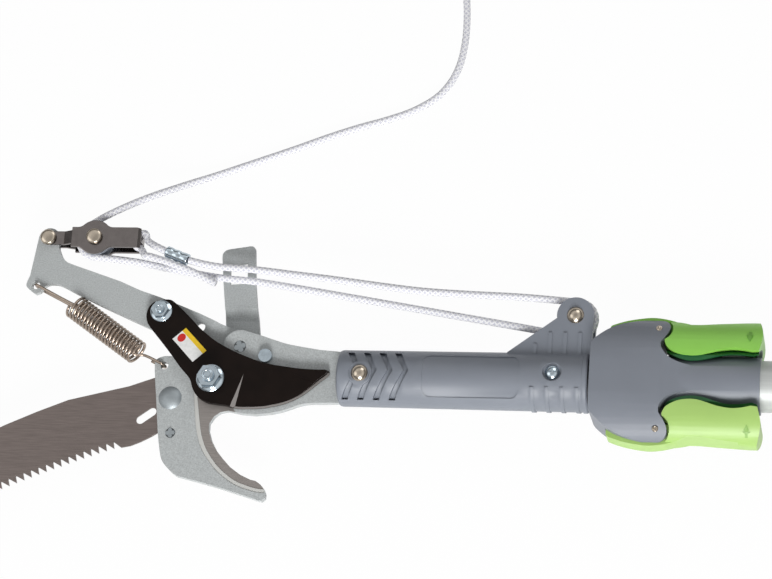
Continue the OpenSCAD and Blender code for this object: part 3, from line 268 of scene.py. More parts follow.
def ramp(tree, value, low, high, lowAt=0.3, highAt=0.7):
    band = addNode(tree, "ValToRGB", {"Fac": value})
    for stop, place, colour in zip(band.color_ramp.elements, (lowAt, highAt), (low, high)):
        stop.position = place
        stop.color = colour
    return band.outputs["Color"]


def mixColours(tree, mask, below, above):
    mix = addNode(tree, "Mix")
    mix.data_type = "RGBA"
    fillInputs(tree, mix, {0: mask, 6: below, 7: above})
    return mix.outputs[2]


def shaded(tree, grain, colour, shades, *stops):
    # the colour, darkened and lightened by the grain
    return ramp(tree, grain, *(shade(colour, factor) for factor in shades), *stops)


def grained(tree, shader, grain, look, own=1, raised=None):
    # the grain roughens the surface and, where nothing else does, raises it
    low, high, height, strength = grainLook[look]
    spread = addNode(tree, "MapRange", {"Value": grain, "To Min": own * low, "To Max": own * high})
    bump = addNode(tree, "Bump", {"Height": grain if raised is None else raised, "Distance": height,
                                  "Strength": strength})
    fillInputs(tree, shader, {"Roughness": spread.outputs["Result"], "Normal": bump.outputs["Normal"]})


def surfaceAxis(tree, kind, axis):
    # one axis of the surface's place (Object) or direction (Normal) in the model's own frame
    place = addNode(tree, "TexCoord")
    return addNode(tree, "SeparateXYZ", {0: place.outputs[kind]}).outputs[axis]


def facingUp(tree):
    # 1 on surfaces that lie level and face up
    return mathNode(tree, "GREATER_THAN", surfaceAxis(tree, "Normal", "Z"), levelFacing)


def between(tree, low, high):
    # 1 between two heights of the model
    height = surfaceAxis(tree, "Object", "Z")
    over = mathNode(tree, "GREATER_THAN", height, low)
    return mathNode(tree, "MULTIPLY", over, mathNode(tree, "LESS_THAN", height, high))


def nearAxis(tree, reach):
    # 1 where the surface is closer to the pole's axis than reach
    across = mathNode(tree, "SUBTRACT", surfaceAxis(tree, "Object", "Y"), socketMouth.y)
    above = mathNode(tree, "SUBTRACT", surfaceAxis(tree, "Object", "Z"), socketMouth.z)
    squares = mathNode(tree, "ADD", mathNode(tree, "MULTIPLY", across, across),
                       mathNode(tree, "MULTIPLY", above, above))
    return mathNode(tree, "LESS_THAN", squares, reach * reach)


def plated(name, colour, roughness, variation=0.1, grain=1100):
    material, tree, shader = shaderStart(name, colour, roughness, 1.0)
    cloud = noiseAt(tree, *grains["platedCloud"])
    tone = shaded(tree, cloud, colour, (1 - variation, 1 + variation))
    tree.links.new(tone, shader.inputs["Base Color"])
    grained(tree, shader, noiseAt(tree, grain, grains["platedDetail"]), "plated", roughness)
    return material


def moulded(name, colour, roughness=0.45, flankShadeColour=None):
    # smooth-moulded plastic with a faint grain; an inner flank near the pole may get a darker colour painted
    # in as shade
    material, tree, shader = shaderStart(name, colour, roughness)
    cloud = noiseAt(tree, *grains["mouldedCloud"])
    tone = shaded(tree, cloud, colour, (1 - mouldedVariation, 1 + mouldedVariation))
    if flankShadeColour:
        # painted shade: the inner flank near the pole takes the darker colour
        tone = mixColours(tree, nearAxis(tree, flankShadeReach), tone, flankShadeColour)
    tree.links.new(tone, shader.inputs["Base Color"])
    grained(tree, shader, noiseAt(tree, *grains["mouldedFine"]), "moulded", roughness)
    return material


# the plate's paint, its bare ground steel, and the lighter tone painted on the jaw's lip as a highlight
plateTones = {"paint": tint(186, 190, 190), "ground": tint(146, 140, 136), "lip": tint(206, 206, 202)}
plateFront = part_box("frame_plate")[1].z
# between which depths below the plate's front the jaw's lip, which gets a painted highlight, and its hollow
# lie, in metres
groundDepths = {"lip": (0.0006, 0.0002), "hollow": (0.001, 0.0006)}
# where the paint's flecks start and end, and how strong and how dark its clouds are
paintMottle = {"flecks": (0.32, 0.68), "clouds": (0.25, 0.25, 0.25, 1), "dark": 0.86}
groundMetal = 0.5


def platePaint(name, ground=False):
    # fine grainy paint; the jaw's hollow ground face is bare steel and its lip is painted lighter as a
    # highlight, each at its own level below the plate's front
    material, tree, shader = shaderStart(name, plateTones["paint"], *ownLook["paint"])
    fleck = noiseAt(tree, *grains["paintFleck"])
    cloud = noiseAt(tree, *grains["paintCloud"])
    paint = shaded(tree, fleck, plateTones["paint"], grainShades["paint"], *paintMottle["flecks"])
    paint = mixColours(tree, ramp(tree, cloud, (0, 0, 0, 1), paintMottle["clouds"]), paint,
                       shade(plateTones["paint"], paintMottle["dark"]))
    tree.links.new(paint, shader.inputs["Base Color"])
    if ground:
        level = facingUp(tree)
        lines = noiseAt(tree, *grains["groundLines"])
        steel = shaded(tree, lines, plateTones["ground"], grainShades["ground"])
        terrace = between(tree, *(plateFront - depth for depth in groundDepths["lip"]))
        hollow = between(tree, *(plateFront - depth for depth in groundDepths["hollow"]))
        lip = mathNode(tree, "MULTIPLY", level, terrace)
        bare = mathNode(tree, "MULTIPLY", level, hollow)
        # painted highlight: the level lip takes a lighter paint colour
        colour = mixColours(tree, lip, paint, plateTones["lip"])
        tree.links.new(mixColours(tree, bare, colour, steel), shader.inputs["Base Color"])
        tree.links.new(mathNode(tree, "MULTIPLY", bare, groundMetal), shader.inputs["Metallic"])
    grained(tree, shader, fleck, "paint")
    return material


# the saw's steel, the blade's black coating, and the steel shown on the blade's worn ledge and painted as a
# highlight on the grind's wall
steelTones = {"saw": tint(124, 114, 110), "blade": tint(21, 14, 11), "edge": tint(150, 145, 142)}
poleTone = tint(194, 197, 195)


def sawSteel():
    material, tree, shader = shaderStart("sawSteel", steelTones["saw"], *ownLook["saw"])
    grain = noiseAt(tree, *grains["sawLines"])
    tree.links.new(shaded(tree, grain, steelTones["saw"], grainShades["saw"]), shader.inputs["Base Color"])
    grained(tree, shader, grain, "saw")
    return material


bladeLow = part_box("cutting_blade")[0]
# the ledge's levels above the blade's back in metres, and how the grind's wall faces where it gets a painted
# highlight
bladeEdge = {"ledge": (0.0004, 0.0008), "ridgeSlope": 0.55, "ridgeRise": 0.3}


def bladeCoating():
    # black coating, worn bright on the narrow ledge along the cutting edge, with a painted highlight in steel
    # colour on the wall of the grind
    material, tree, shader = shaderStart("bladeCoating", steelTones["blade"], *ownLook["blade"])
    cloud = noiseAt(tree, *grains["bladeCloud"])
    dark = shaded(tree, cloud, steelTones["blade"], grainShades["blade"])
    ledge = mathNode(tree, "MULTIPLY", facingUp(tree),
                     between(tree, *(bladeLow.z + level for level in bladeEdge["ledge"])))
    facing = surfaceAxis(tree, "Normal", "X")
    rising = surfaceAxis(tree, "Normal", "Z")
    ridgeHighlight = mathNode(tree, "MULTIPLY",
                      mathNode(tree, "GREATER_THAN", facing, bladeEdge["ridgeSlope"]),
                      mathNode(tree, "GREATER_THAN", rising, bladeEdge["ridgeRise"]))
    bareEdgeAndHighlight = mathNode(tree, "MAXIMUM", ledge, ridgeHighlight)
    tree.links.new(mixColours(tree, bareEdgeAndHighlight, dark, steelTones["edge"]), shader.inputs["Base Color"])
    grained(tree, shader, noiseAt(tree, *grains["bladeFine"]), "blade")
    return material


def poleAluminium():
    material, tree, shader = shaderStart("poleAluminium", poleTone, *ownLook["pole"])
    grain = noiseAt(tree, *grains["poleLines"])
    tree.links.new(shaded(tree, grain, poleTone, grainShades["pole"]), shader.inputs["Base Color"])
    grained(tree, shader, grain, "pole")
    return material


# the rope's plait: strands that go round it each way, the distance at which they repeat, their relief, the
# share of it that lies below the rope's radius, its tone and the darker tone painted as shade into the grooves
# between the strands
ropeWeave = {"around": 4, "pitch": 0.0034, "relief": 0.00012, "sunk": 0.4, "fibre": 0.35,
             "tone": tint(250, 250, 252), "dark": tint(216, 216, 227), "stops": (0.0, 0.75)}


def ropeBraid():
    # the map's u runs round the rope and its v along it in metres
    material, tree, shader = shaderStart("ropeBraid", ropeWeave["tone"], *ownLook["rope"])
    uv = addNode(tree, "UVMap")
    uv.uv_map = "lay"
    apart = addNode(tree, "SeparateXYZ", {0: uv.outputs["UV"]})
    along = mathNode(tree, "MULTIPLY", apart.outputs["Y"], 2 * math.pi / ropeWeave["pitch"])
    waves = []
    for hand in (1, -1):
        turns = hand * 2 * math.pi * ropeWeave["around"]
        lay = mathNode(tree, "MULTIPLY_ADD", apart.outputs["X"], turns, along)
        waves.append(mathNode(tree, "SINE", lay))
    weave = mathNode(tree, "MAXIMUM", *waves)
    # painted shade: the grooves between the strands take the dark tone
    tree.links.new(ramp(tree, weave, ropeWeave["dark"], ropeWeave["tone"], *ropeWeave["stops"]),
                   shader.inputs["Base Color"])
    fibre = noiseAt(tree, *grains["ropeFibre"])
    raised = mathNode(tree, "MULTIPLY_ADD", fibre, ropeWeave["fibre"], weave)
    grained(tree, shader, fibre, "rope", raised=raised)
    return material


def labelFilm(name, colour):
    material, tree, shader = shaderStart(name, colour, *ownLook["label"])
    fine = noiseAt(tree, *grains["labelFine"])
    tree.links.new(shaded(tree, fine, colour, grainShades["label"]), shader.inputs["Base Color"])
    grained(tree, shader, fine, "label")
    return material


finish = {
    "plate_paint": platePaint("platePaint"),
    "saw_steel": sawSteel(),
    "zinc": plated("brightZinc", tint(182, 194, 202), 0.16),
    "nickel": plated("warmNickel", tint(178, 167, 152), 0.2),
    "blade_coating": bladeCoating(),
    "spring_wire": plated("springWire", tint(158, 144, 132), 0.26),
    "dark_nickel": plated("darkNickel", tint(120, 114, 112), 0.2, 0.07, 600),
    "grey_plastic": moulded("greyPlastic", tint(128, 133, 142)),
    "rope": ropeBraid(),
    "black_plastic": moulded("blackPlastic", tint(42, 42, 45), 0.5),
    # one green plastic for both latches: painted darker on the upper one as shade and lighter on the lower one
    # as light
    "upper_green": moulded("upperShadedGreen", tint(150, 216, 90), 0.4, flankShadeColour=tint(28, 92, 48)),
    "lower_green": moulded("lowerLitGreen", tint(170, 206, 114), 0.4, flankShadeColour=tint(34, 100, 54)),
    "pole_aluminium": poleAluminium(),
}
dullZinc = plated("dullZinc", tint(152, 158, 161), 0.5, 0.06)
# painted shade: the pin faces between the crimped lobes are dark zinc
gapShadeZinc = plated("gapShadeZinc", tint(92, 95, 96), 0.5, 0.06)
ownFinish = {"frame_plate": platePaint("framePaint", ground=True), "saw_bolt": dullZinc,
             "lever_pin": gapShadeZinc, "saw_stop_rivet": gapShadeZinc}
slotOfNode = {part["node"]: part["material_slot"] for part in frame["record"]["subparts"]}
for node, thing in frame["nodes"].items():
    thing.data.materials.clear()
    thing.data.materials.append(ownFinish.get(node, finish[slotOfNode[node]]))
print("finishes made:", len(finish))


# shapes that several pieces share; points nearer than these, in metres, are joined
joinGaps = {"sweep": 0.000001, "lathe": 0.000002}


def newPiece(name, mesh, material):
    bmesh.ops.recalc_face_normals(mesh, faces=mesh.faces)
    data = bpy.data.meshes.new(name)
    mesh.to_mesh(data)
    mesh.free()
    piece = addObject(name, data)
    data.materials.append(material)
    return piece


def splinePoint(a, b, c, d, t):
    # a point of the smooth curve through a, b, c and d, between b and c
    square = (2 * a - 5 * b + 4 * c - d) * t * t
    return 0.5 * ((2 * b) + (c - a) * t + square + (3 * b - a - 3 * c + d) * t ** 3)


def smoothLine(points, steps=6):
    last = len(points) - 1
    line = []
    for i in range(last):
        a, b = points[max(i - 1, 0)], points[i]
        c, d = points[i + 1], points[min(i + 2, last)]
        line += [splinePoint(a, b, c, d, k / steps) for k in range(steps)]
    return line + [points[last]]


def lineLength(line):
    return sum((b - a).length for a, b in zip(line, line[1:]))


def evenLine(line, gap):
    # the same line with its points the same distance apart, near gap
    count = max(2, round(lineLength(line) / gap))
    step = lineLength(line) / count
    even = [line[0]]
    passed = 0.0
    for a, b in zip(line, line[1:]):
        reach = (b - a).length
        while len(even) < count and passed + reach >= step * len(even):
            even.append(a.lerp(b, (step * len(even) - passed) / reach))
        passed += reach
    return even + [line[-1]]


def plaitRelief(around, along):
    turn = 2 * math.pi * ropeWeave["around"] * around
    lay = 2 * math.pi * along / ropeWeave["pitch"]
    return ropeWeave["relief"] * (max(math.sin(lay + turn), math.sin(lay - turn)) - ropeWeave["sunk"])


def framesAlong(line):
    # at each point of a line, two directions across it that don't twist as it goes
    way = (line[1] - line[0]).normalized()
    side = way.orthogonal().normalized()
    frames = []
    for i, point in enumerate(line):
        back = (point - line[i - 1]).normalized() if i else way
        ahead = (line[i + 1] - point).normalized() if i + 1 < len(line) else back
        newWay = (back + ahead).normalized()
        side = (way.rotation_difference(newWay) @ side).normalized()
        way = newWay
        frames.append((side, way.cross(side).normalized()))
    return frames


def sweep(name, line, radius, sides, finishName, plaited=False):
    # a round wire or rope: a grid rolled up along a line, with its map's u round it and v along it in metres
    mesh = bmesh.new()
    layer = mesh.loops.layers.uv.new("lay")
    bmesh.ops.create_grid(mesh, x_segments=sides, y_segments=len(line) - 1, size=0.5)
    frames = framesAlong(line)
    travelled = [0.0]
    for a, b in zip(line, line[1:]):
        travelled.append(travelled[-1] + (b - a).length)
    marks = {}
    for vert in mesh.verts:
        ring = round((vert.co.y + 0.5) * (len(line) - 1))
        marks[vert] = (vert.co.x + 0.5, ring)
    for face in mesh.faces:
        face.smooth = True
        for loop in face.loops:
            around, ring = marks[loop.vert]
            loop[layer].uv = (around, travelled[ring])
    for vert, (around, ring) in marks.items():
        side, other = frames[ring]
        turn = 2 * math.pi * around
        out = side * math.cos(turn) + other * math.sin(turn)
        reach = radius + (plaitRelief(around, travelled[ring]) if plaited else 0)
        vert.co = line[ring] + out * reach
    bmesh.ops.remove_doubles(mesh, verts=mesh.verts, dist=joinGaps["sweep"])
    rims = [edge for edge in mesh.edges if edge.is_boundary]
    bmesh.ops.holes_fill(mesh, edges=rims, sides=0)
    piece = newPiece(name, mesh, finish[finishName])
    return piece


def flatPlate(name, outline, low, high, material, rounding=0.0):
    # a flat plate with the given outline, in millimetres from the socket's mouth
    mesh = bmesh.new()
    verts = [mesh.verts.new(spot(x, y, low)) for x, y in outline]
    face = bmesh.ops.contextual_create(mesh, geom=verts)["faces"]
    grown = bmesh.ops.extrude_face_region(mesh, geom=face)["geom"]
    top = [item for item in grown if isinstance(item, bmesh.types.BMVert)]
    bmesh.ops.translate(mesh, vec=(0, 0, (high - low) / 1000), verts=top)
    if rounding:
        rim = [edge for edge in mesh.edges if all(vert in top for vert in edge.verts)]
        bmesh.ops.bevel(mesh, geom=rim, offset=rounding / 1000, offset_type="OFFSET", segments=2,
                        profile=0.5, affect="EDGES", material=-1, clamp_overlap=True)
    return newPiece(name, mesh, material)


roundSteps = 32


def lathe(name, profile, centre, axis, steps, material):
    # a round piece about an axis; the profile gives how far along it and how far out, in millimetres
    mesh = bmesh.new()
    turn = Vector((0, 0, 1)).rotation_difference(Vector(axis)).to_matrix().to_4x4()
    place = Matrix.Translation(spot(*centre)) @ turn
    verts = [mesh.verts.new(place @ Vector((out / 1000, 0, along / 1000))) for along, out in profile]
    line = [mesh.edges.new(pair) for pair in zip(verts, verts[1:])]
    bmesh.ops.spin(mesh, geom=verts + line, cent=spot(*centre), axis=Vector(axis).normalized(),
                   angle=2 * math.pi, steps=steps, use_merge=True)
    bmesh.ops.remove_doubles(mesh, verts=mesh.verts, dist=joinGaps["lathe"])
    for face in mesh.faces:
        face.smooth = True
    return newPiece(name, mesh, material)


# the rope: spans over the pulleys, a loop round the block's end, and the free rope that goes to the hand
ropeSize = {"diameter": 4.5, "sides": 20, "ringGap": 0.0006, "sheaveRadius": 11.5, "wrapStep": 3,
            "fewestSteps": 12}
leverArm = {"reach": 150.8, "angle": 151.9}


def heading(angle):
    return Vector((math.cos(math.radians(angle)), math.sin(math.radians(angle)), 0))


headAxle = Vector((147.5, 41.3, 0))
leverPivot = Vector((-66, 19, 0))
blockPivot = leverPivot + leverArm["reach"] * heading(leverArm["angle"])
blockAxle = blockPivot + Vector((31.5, 0, 0))
webMiddle = blockPivot + Vector((61, 0, 0))
ropeRadius = ropeSize["diameter"] / 2000
ropeRoutes = {
    "upperSpan": [(-103.9, 75.45, 4.8), (-94, 73.2, 4.4), (-82.8, 71.7, 3.4), (-60.5, 70.8, 1.4),
                  (-36, 68.4, 0.3), (-11.8, 65.8, 0), (18, 62, 0), (48, 58.6, 0), (80, 56.8, 0),
                  (110.7, 55.6, 0)],
    "lowerSpan": [(-151, 76.8, 0), (-137.5, 75.2, -0.4), (-120.7, 72.2, -1.5), (-93.8, 67.5, -1.5),
                  (-78, 65.3, -1.5), (-60, 63.7, -1.5), (-36, 60, -0.8), (-11, 55.9, -0.3), (32, 48.8, 0),
                  (65, 43.4, 0), (92, 39, 0), (120, 34.4, 0)],
    "headTurn": (-98.9, 87.3),
    "blockTurn": (121, 265),
    "keepUpper": 0.45,
    "keepLower": 0.547,
}


def onSheave(axle, angle):
    return axle + ropeSize["sheaveRadius"] * heading(angle)


def wrap(axle, start, end):
    steps = max(ropeSize["fewestSteps"], int(abs(end - start) / ropeSize["wrapStep"]))
    return [onSheave(axle, start + (end - start) * i / steps) for i in range(steps + 1)]


def ropePiece(name, line, body, *nodes):
    line = evenLine(spots(line), ropeSize["ringGap"])
    piece = sweep(name, line, ropeRadius, ropeSize["sides"], "rope", plaited=True)
    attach(piece, body)
    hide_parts(*nodes)
    return piece


def ropeOnHead():
    routes = ropeRoutes
    upper = vectors(routes["upperSpan"]) + [onSheave(headAxle, routes["headTurn"][1])]
    lower = [onSheave(blockAxle, routes["blockTurn"][1])] + vectors(routes["lowerSpan"])
    lower.append(onSheave(headAxle, routes["headTurn"][0]))
    upperSpan = ropePiece("upperSpan", smoothLine(upper), "rope", "rope_span_upper")
    lowerSpan = ropePiece("lowerSpan", smoothLine(lower), "rope", "rope_span_lower")
    ropePiece("headTurn", wrap(headAxle, *routes["headTurn"]), "rope", "rope_head_wrap")
    ropePiece("blockTurn", wrap(blockAxle, *routes["blockTurn"]), "block", "rope_block_wrap")
    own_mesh(upperSpan)
    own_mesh(lowerSpan)


# the loop's points near the block are measured from the middle of its end web
becketRoute = {"start": [(-119.4, 81.35, 4.8), (-125.1, 84.3, 3.8), (-130.5, 87.6, 1.2)],
               "roundWeb": [(3.9, 0.6, 0), (2.7, 4.4, 0), (0, 5.2, 0), (-2.7, 4.4, 0), (-3.9, 0, 0),
                            (-2.7, -4.2, 0), (0, -5.3, 0.4), (2.6, -8.4, 2.1), (4.6, -11.5, 3.8)],
               "tail": [(-130, 77.9, 4.7), (-122.3, 75.5, 5.1), (-114, 72.6, 5.2), (-99.6, 67.2, 5.2),
                        (-85, 60, 4.9)]}


def becketLoop():
    line = vectors(becketRoute["start"])
    line += [webMiddle + Vector(p) for p in becketRoute["roundWeb"]]
    line += vectors(becketRoute["tail"])
    ropePiece("becketLoop", smoothLine(line), "block", "rope_becket")


ferruleShape = {"ends": ((-119, 81.2), (-104.4, 75.6)), "level": 4.8, "radius": 3.8, "bore": 2.3,
                "rim": 0.5, "rimShare": 0.4, "rimSunk": 0.1, "grooves": 2, "groove": 0.25,
                "grooveFoot": 0.9, "grooveTop": 1.5}


def ferruleSleeve():
    # a pressed sleeve with rolled rims and shallow grooves from the crimping tool
    shape = ferruleShape
    first, second = (Vector((*end, shape["level"])) for end in shape["ends"])
    length, radius, rim = (second - first).length, shape["radius"], shape["rim"]
    shoulder, edge = rim * shape["rimShare"], radius - shape["rimSunk"]
    profile = [(0, shape["bore"]), (0, radius - rim), (shoulder, edge), (rim, radius)]
    foot, top, low = shape["grooveFoot"], shape["grooveTop"], radius - shape["groove"]
    for i in range(shape["grooves"]):
        middle = length * (i + 1) / (shape["grooves"] + 1)
        profile += [(middle - top, radius), (middle - foot, low), (middle + foot, low), (middle + top, radius)]
    profile += [(length - rim, radius), (length - shoulder, edge), (length, radius - rim),
                (length, shape["bore"])]
    sleeve = lathe("ferruleSleeve", profile, tuple(first), (second - first).normalized(), roundSteps,
                   finish["zinc"])
    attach(sleeve, "block")
    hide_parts("rope_ferrule")


freeRope = {"length": 1.85, "loops": 3, "ringsPerLoop": 48, "half": 41.0, "firstWidth": 6.0, "step": 5.0,
            "middle": (0.0, 324.0), "hankLift": 1.2, "reliefRoom": 0.08, "ringGap": 0.00075, "sides": 18}
groundLevel = -21.0
ropeRest = groundLevel + ropeSize["diameter"] / 2 + freeRope["reliefRoom"]
hankRest = ropeRest + freeRope["hankLift"]
freeRoute = [(-166, 105, 0), (-158, 109.8, -0.6), (-149, 115.2, -2.4), (-140, 120.6, -5.2),
             (-131, 125.8, -8.6), (-121, 131.2, -12.4), (-110, 136.6, -15.8), (-98, 141.6, -18)]
groundRoute = [(-84, 147), (-66, 153.6), (-46, 161), (-24, 169.6), (-4, 176.6), (14, 182), (32, 189),
               (48, 200), (58, 216), (62, 236), (62, 258), (59.5, 280)]
freeRoute += [(*place, ropeRest) for place in groundRoute] + [(57, 298, hankRest), (56, 311, hankRest)]
hankTail = [(-57.5, -9, 4.6), (-60.5, -19, 3), (-63.5, -29, 0.8), (-65, -36, -1)]


def hankPoint(turns, out, level):
    # a loop has two straight runs and round folds: an eighth of a turn is half a run or a quarter of a circle
    width = freeRope["firstWidth"] + freeRope["step"] * out
    run = freeRope["half"] - freeRope["firstWidth"]
    eighth = 8 * (turns % 1)
    near = min(eighth, 8 - eighth)
    angle = math.radians(90 * (min(near, 1) + max(0, near - 3)))
    side = 1 if eighth < 4 else -1
    return Vector((freeRope["middle"][0] + run * max(-1, min(1, 2 - near)) + width * math.cos(angle),
                   freeRope["middle"][1] + side * width * math.sin(angle), level))


def hankLine():
    # flat loops that spiral in on the ground and out again on top of themselves
    loops, rings = freeRope["loops"], freeRope["ringsPerLoop"]
    line = []
    for i in range(int((2 * loops + 0.5) * rings) + 1):
        t = i / rings
        out = loops - t if t < loops else max(0.0, t - loops - 0.5)
        line.append(hankPoint(t, out, hankRest + freeRope["step"] * min(1, max(0, 2 * (t - loops)))))
    middle = Vector((*freeRope["middle"], hankRest))
    return line + smoothLine([line[-1]] + [middle + Vector(p) for p in hankTail], 4)[1:]


def layFreeRope():
    start = onSheave(blockAxle, ropeRoutes["blockTurn"][0])
    hankStart = hankPoint(0, freeRope["loops"], hankRest)
    lead = smoothLine([start] + vectors(freeRoute) + [hankStart], 4)
    lead = [Vector((p.x, p.y, max(p.z, ropeRest))) for p in lead]
    line = spots(lead[:-1] + hankLine())
    rings = evenLine(line, freeRope["ringGap"])
    rope = sweep("freeRope", rings, ropeRadius, freeRope["sides"], "rope", plaited=True)
    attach(rope, "block")
    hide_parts("rope_lead", "rope_fall", "rope_hank")
    print("free rope is", round(lineLength(line), 3), "m long")
    return rope, line, start


tieShape = {"cord": 0.9, "turns": 4, "pitch": 1.7, "steps": 40, "sides": 8, "start": -2.4, "clearance": 0.3,
            "flatness": (0.5, 0.35)}
knotShape = {"place": (-66, -42), "size": 1.16, "rise": 1.4, "cord": 0.0019, "lift": 5.5, "steps": 96,
             "sides": 10}


def flattened(value, power):
    return math.copysign(min(1, abs(value) ** power), value)


def hankTieCord():
    # thin cord wound round the middle of the hank, closely following its flat section
    middle = Vector((*freeRope["middle"], 0))
    clearance, (acrossPower, upPower) = tieShape["clearance"], tieShape["flatness"]
    half = freeRope["firstWidth"] + freeRope["step"] * freeRope["loops"] + ropeSize["diameter"] / 2 + clearance
    radius = tieShape["cord"] / 2
    low = groundLevel + radius
    high = hankRest + freeRope["step"] + ropeSize["diameter"] / 2 + clearance + radius
    line = []
    for i in range(tieShape["turns"] * tieShape["steps"] + 1):
        a = 2 * math.pi * i / tieShape["steps"]
        y = (half + radius) * flattened(math.cos(a), acrossPower)
        z = (low + high) / 2 + (high - low) / 2 * flattened(math.sin(a), upPower)
        x = tieShape["start"] + tieShape["pitch"] * i / tieShape["steps"]
        line.append(Vector((middle.x + x, middle.y + y, z)))
    cord = sweep("hankTie", spots(line), radius / 1000, tieShape["sides"], "rope")
    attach(cord, "block")
    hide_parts("hank_tie")
    return cord


def endKnotOfRope():
    across, along = (a + b for a, b in zip(freeRope["middle"], knotShape["place"]))
    centre = Vector((across, along, groundLevel + knotShape["lift"]))
    line = []
    for i in range(knotShape["steps"] + 1):
        a = 2 * math.pi * i / knotShape["steps"]
        line.append(centre + knotShape["size"] * Vector((math.sin(a) + 2 * math.sin(2 * a),
                                                         math.cos(a) - 2 * math.cos(2 * a),
                                                         -knotShape["rise"] * math.sin(3 * a))))
    knot = sweep("endKnot", spots(line), knotShape["cord"], knotShape["sides"], "rope")
    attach(knot, "block")
    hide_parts("rope_knot")
    return knot


ropeOnHead()
becketLoop()
ferruleSleeve()
rope, ropeLine, ropeStart = layFreeRope()
hankTie = hankTieCord()
endKnot = endKnotOfRope()
print("ropes laid")

# the return spring: hooked through the plate's hole, wound, and caught by a drawbar hook in the lever's eye
springSetup = {"wire": 1.9, "diameter": 16.6, "turns": 20, "low": (-132.6, 13.8), "high": (-178, 44.8),
               "hole": (-114, 5.5), "eye": (-204.6, 58.1), "hookRadius": 3.0, "drop": 4.15,
               "ringsPerTurn": 22, "startAngle": 70, "sides": 10}
# where the hooks' wires end and bend, from the coil's ends; the join's last value is a share of its radius
hookShape = {"freeEnd": 9, "leg": 6, "join": (-1.6, 2.4, 0.84), "barEnd": (6, 3.4), "barBend": (3, 1, 0.6),
             "barLeg": 2}


def beside(start, direction, along, across, above):
    # a point measured along a direction, across it in the plane and above it
    return start + direction * along + Vector((-direction.y, direction.x, 0)) * across + Vector((0, 0, above))


def hookBend(start, direction):
    radius, drop = springSetup["hookRadius"], springSetup["drop"]
    angles = [math.radians(a) for a in range(-60, 61, 30)]
    return [beside(start, direction, radius - radius * math.cos(a), 0, drop * math.sin(a)) for a in angles]


def springPieces():
    setup = springSetup
    low, high, hole, eye = (Vector((*setup[key], 0)) for key in ("low", "high", "hole", "eye"))
    wire, drop, bend = setup["wire"] / 2000, setup["drop"], setup["hookRadius"]
    radius = (setup["diameter"] - setup["wire"]) / 2
    coilWay, coilLength = (high - low).normalized(), (high - low).length
    toLow, lowLength = (low - hole).normalized(), (low - hole).length
    toHigh, highLength = (high - eye).normalized(), (high - eye).length
    joinAlong, joinAcross, joinShare = hookShape["join"]
    hook = [beside(hole, toLow, lowLength - hookShape["freeEnd"], 0, -drop),
            beside(hole, toLow, bend, 0, -drop)]
    hook += hookBend(hole, toLow)
    hook += [beside(hole, toLow, bend, 0, drop), beside(hole, toLow, lowLength - hookShape["leg"], 0, drop),
             beside(low, coilWay, joinAlong, joinAcross, radius * joinShare)]
    coil = []
    total = setup["turns"] * setup["ringsPerTurn"]
    for i in range(total + 1):
        a = math.radians(setup["startAngle"]) + 2 * math.pi * i / setup["ringsPerTurn"]
        coil.append(beside(low, coilWay, coilLength * i / total, radius * math.cos(a), radius * math.sin(a)))
    wound = smoothLine(hook + coil[:1], 5)[:-1] + coil
    spring = sweep("returnSpring", spots(wound), wire, setup["sides"], "spring_wire")
    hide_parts("return_spring")
    (endAlong, endAcross), (bendAlong, bendAcross, bendSunk) = hookShape["barEnd"], hookShape["barBend"]
    legEnd = highLength - hookShape["barLeg"]
    bar = [beside(eye, toHigh, highLength + endAlong, endAcross, 0),
           beside(eye, toHigh, highLength + bendAlong, bendAcross, drop - bendSunk),
           beside(eye, toHigh, legEnd, 0, drop), beside(eye, toHigh, bend, 0, drop)]
    bar += hookBend(eye, toHigh)[::-1]
    bar += [beside(eye, toHigh, bend, 0, -drop), beside(eye, toHigh, legEnd, 0, -drop),
            beside(eye, toHigh, highLength + bendAlong, -bendAcross, bendSunk - drop),
            beside(eye, toHigh, highLength + endAlong, -endAcross, 0)]
    top = sweep("springHook", spots(smoothLine(bar, 5)), wire, setup["sides"], "spring_wire")
    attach(top, "spring_top")
    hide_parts("spring_hook")
    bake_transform(spring)


latchSpring = {"x": 236.5, "diameter": 6.0, "wire": 0.9, "turns": 6, "foot": 18.3, "end": 33.05,
               "ringsPerTurn": 20, "sides": 8, "travel": 2.2}


def latchSprings():
    setup = latchSpring
    radius = (setup["diameter"] - setup["wire"]) / 2
    total = setup["turns"] * setup["ringsPerTurn"]
    for side, name in ((1, "upper"), (-1, "lower")):
        line = []
        for i in range(total + 1):
            a = 2 * math.pi * i / setup["ringsPerTurn"]
            rise = setup["foot"] + (setup["end"] - setup["foot"]) * i / total
            line.append(Vector((setup["x"] + radius * math.cos(a), side * rise, radius * math.sin(a))))
        piece = sweep(name + "LatchSpring", spots(line), setup["wire"] / 2000, setup["sides"], "spring_wire")
        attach(piece, name + "_latch")
        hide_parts("latch_spring_" + name)
        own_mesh(piece)


springPieces()
latchSprings()
print("springs wound")

# a plain label on the blade: white film, a yellow band along one side and a red spot, with nothing printed
labelShape = {"corners": ((-101.1, 29.4), (-86.4, 14.6), (-94.8, 6.9), (-109.3, 21.9)), "level": 6.7,
              "lift": 0.005, "film": 0.1, "raised": 1.35, "band": 0.27, "spotAt": (0.16, 0.56),
              "spotSize": (2.5, 3.0), "spotSides": 20}
labelTones = {"labelFilm": tint(240, 240, 238), "labelBand": tint(238, 200, 40),
              "labelSpot": tint(206, 40, 32)}


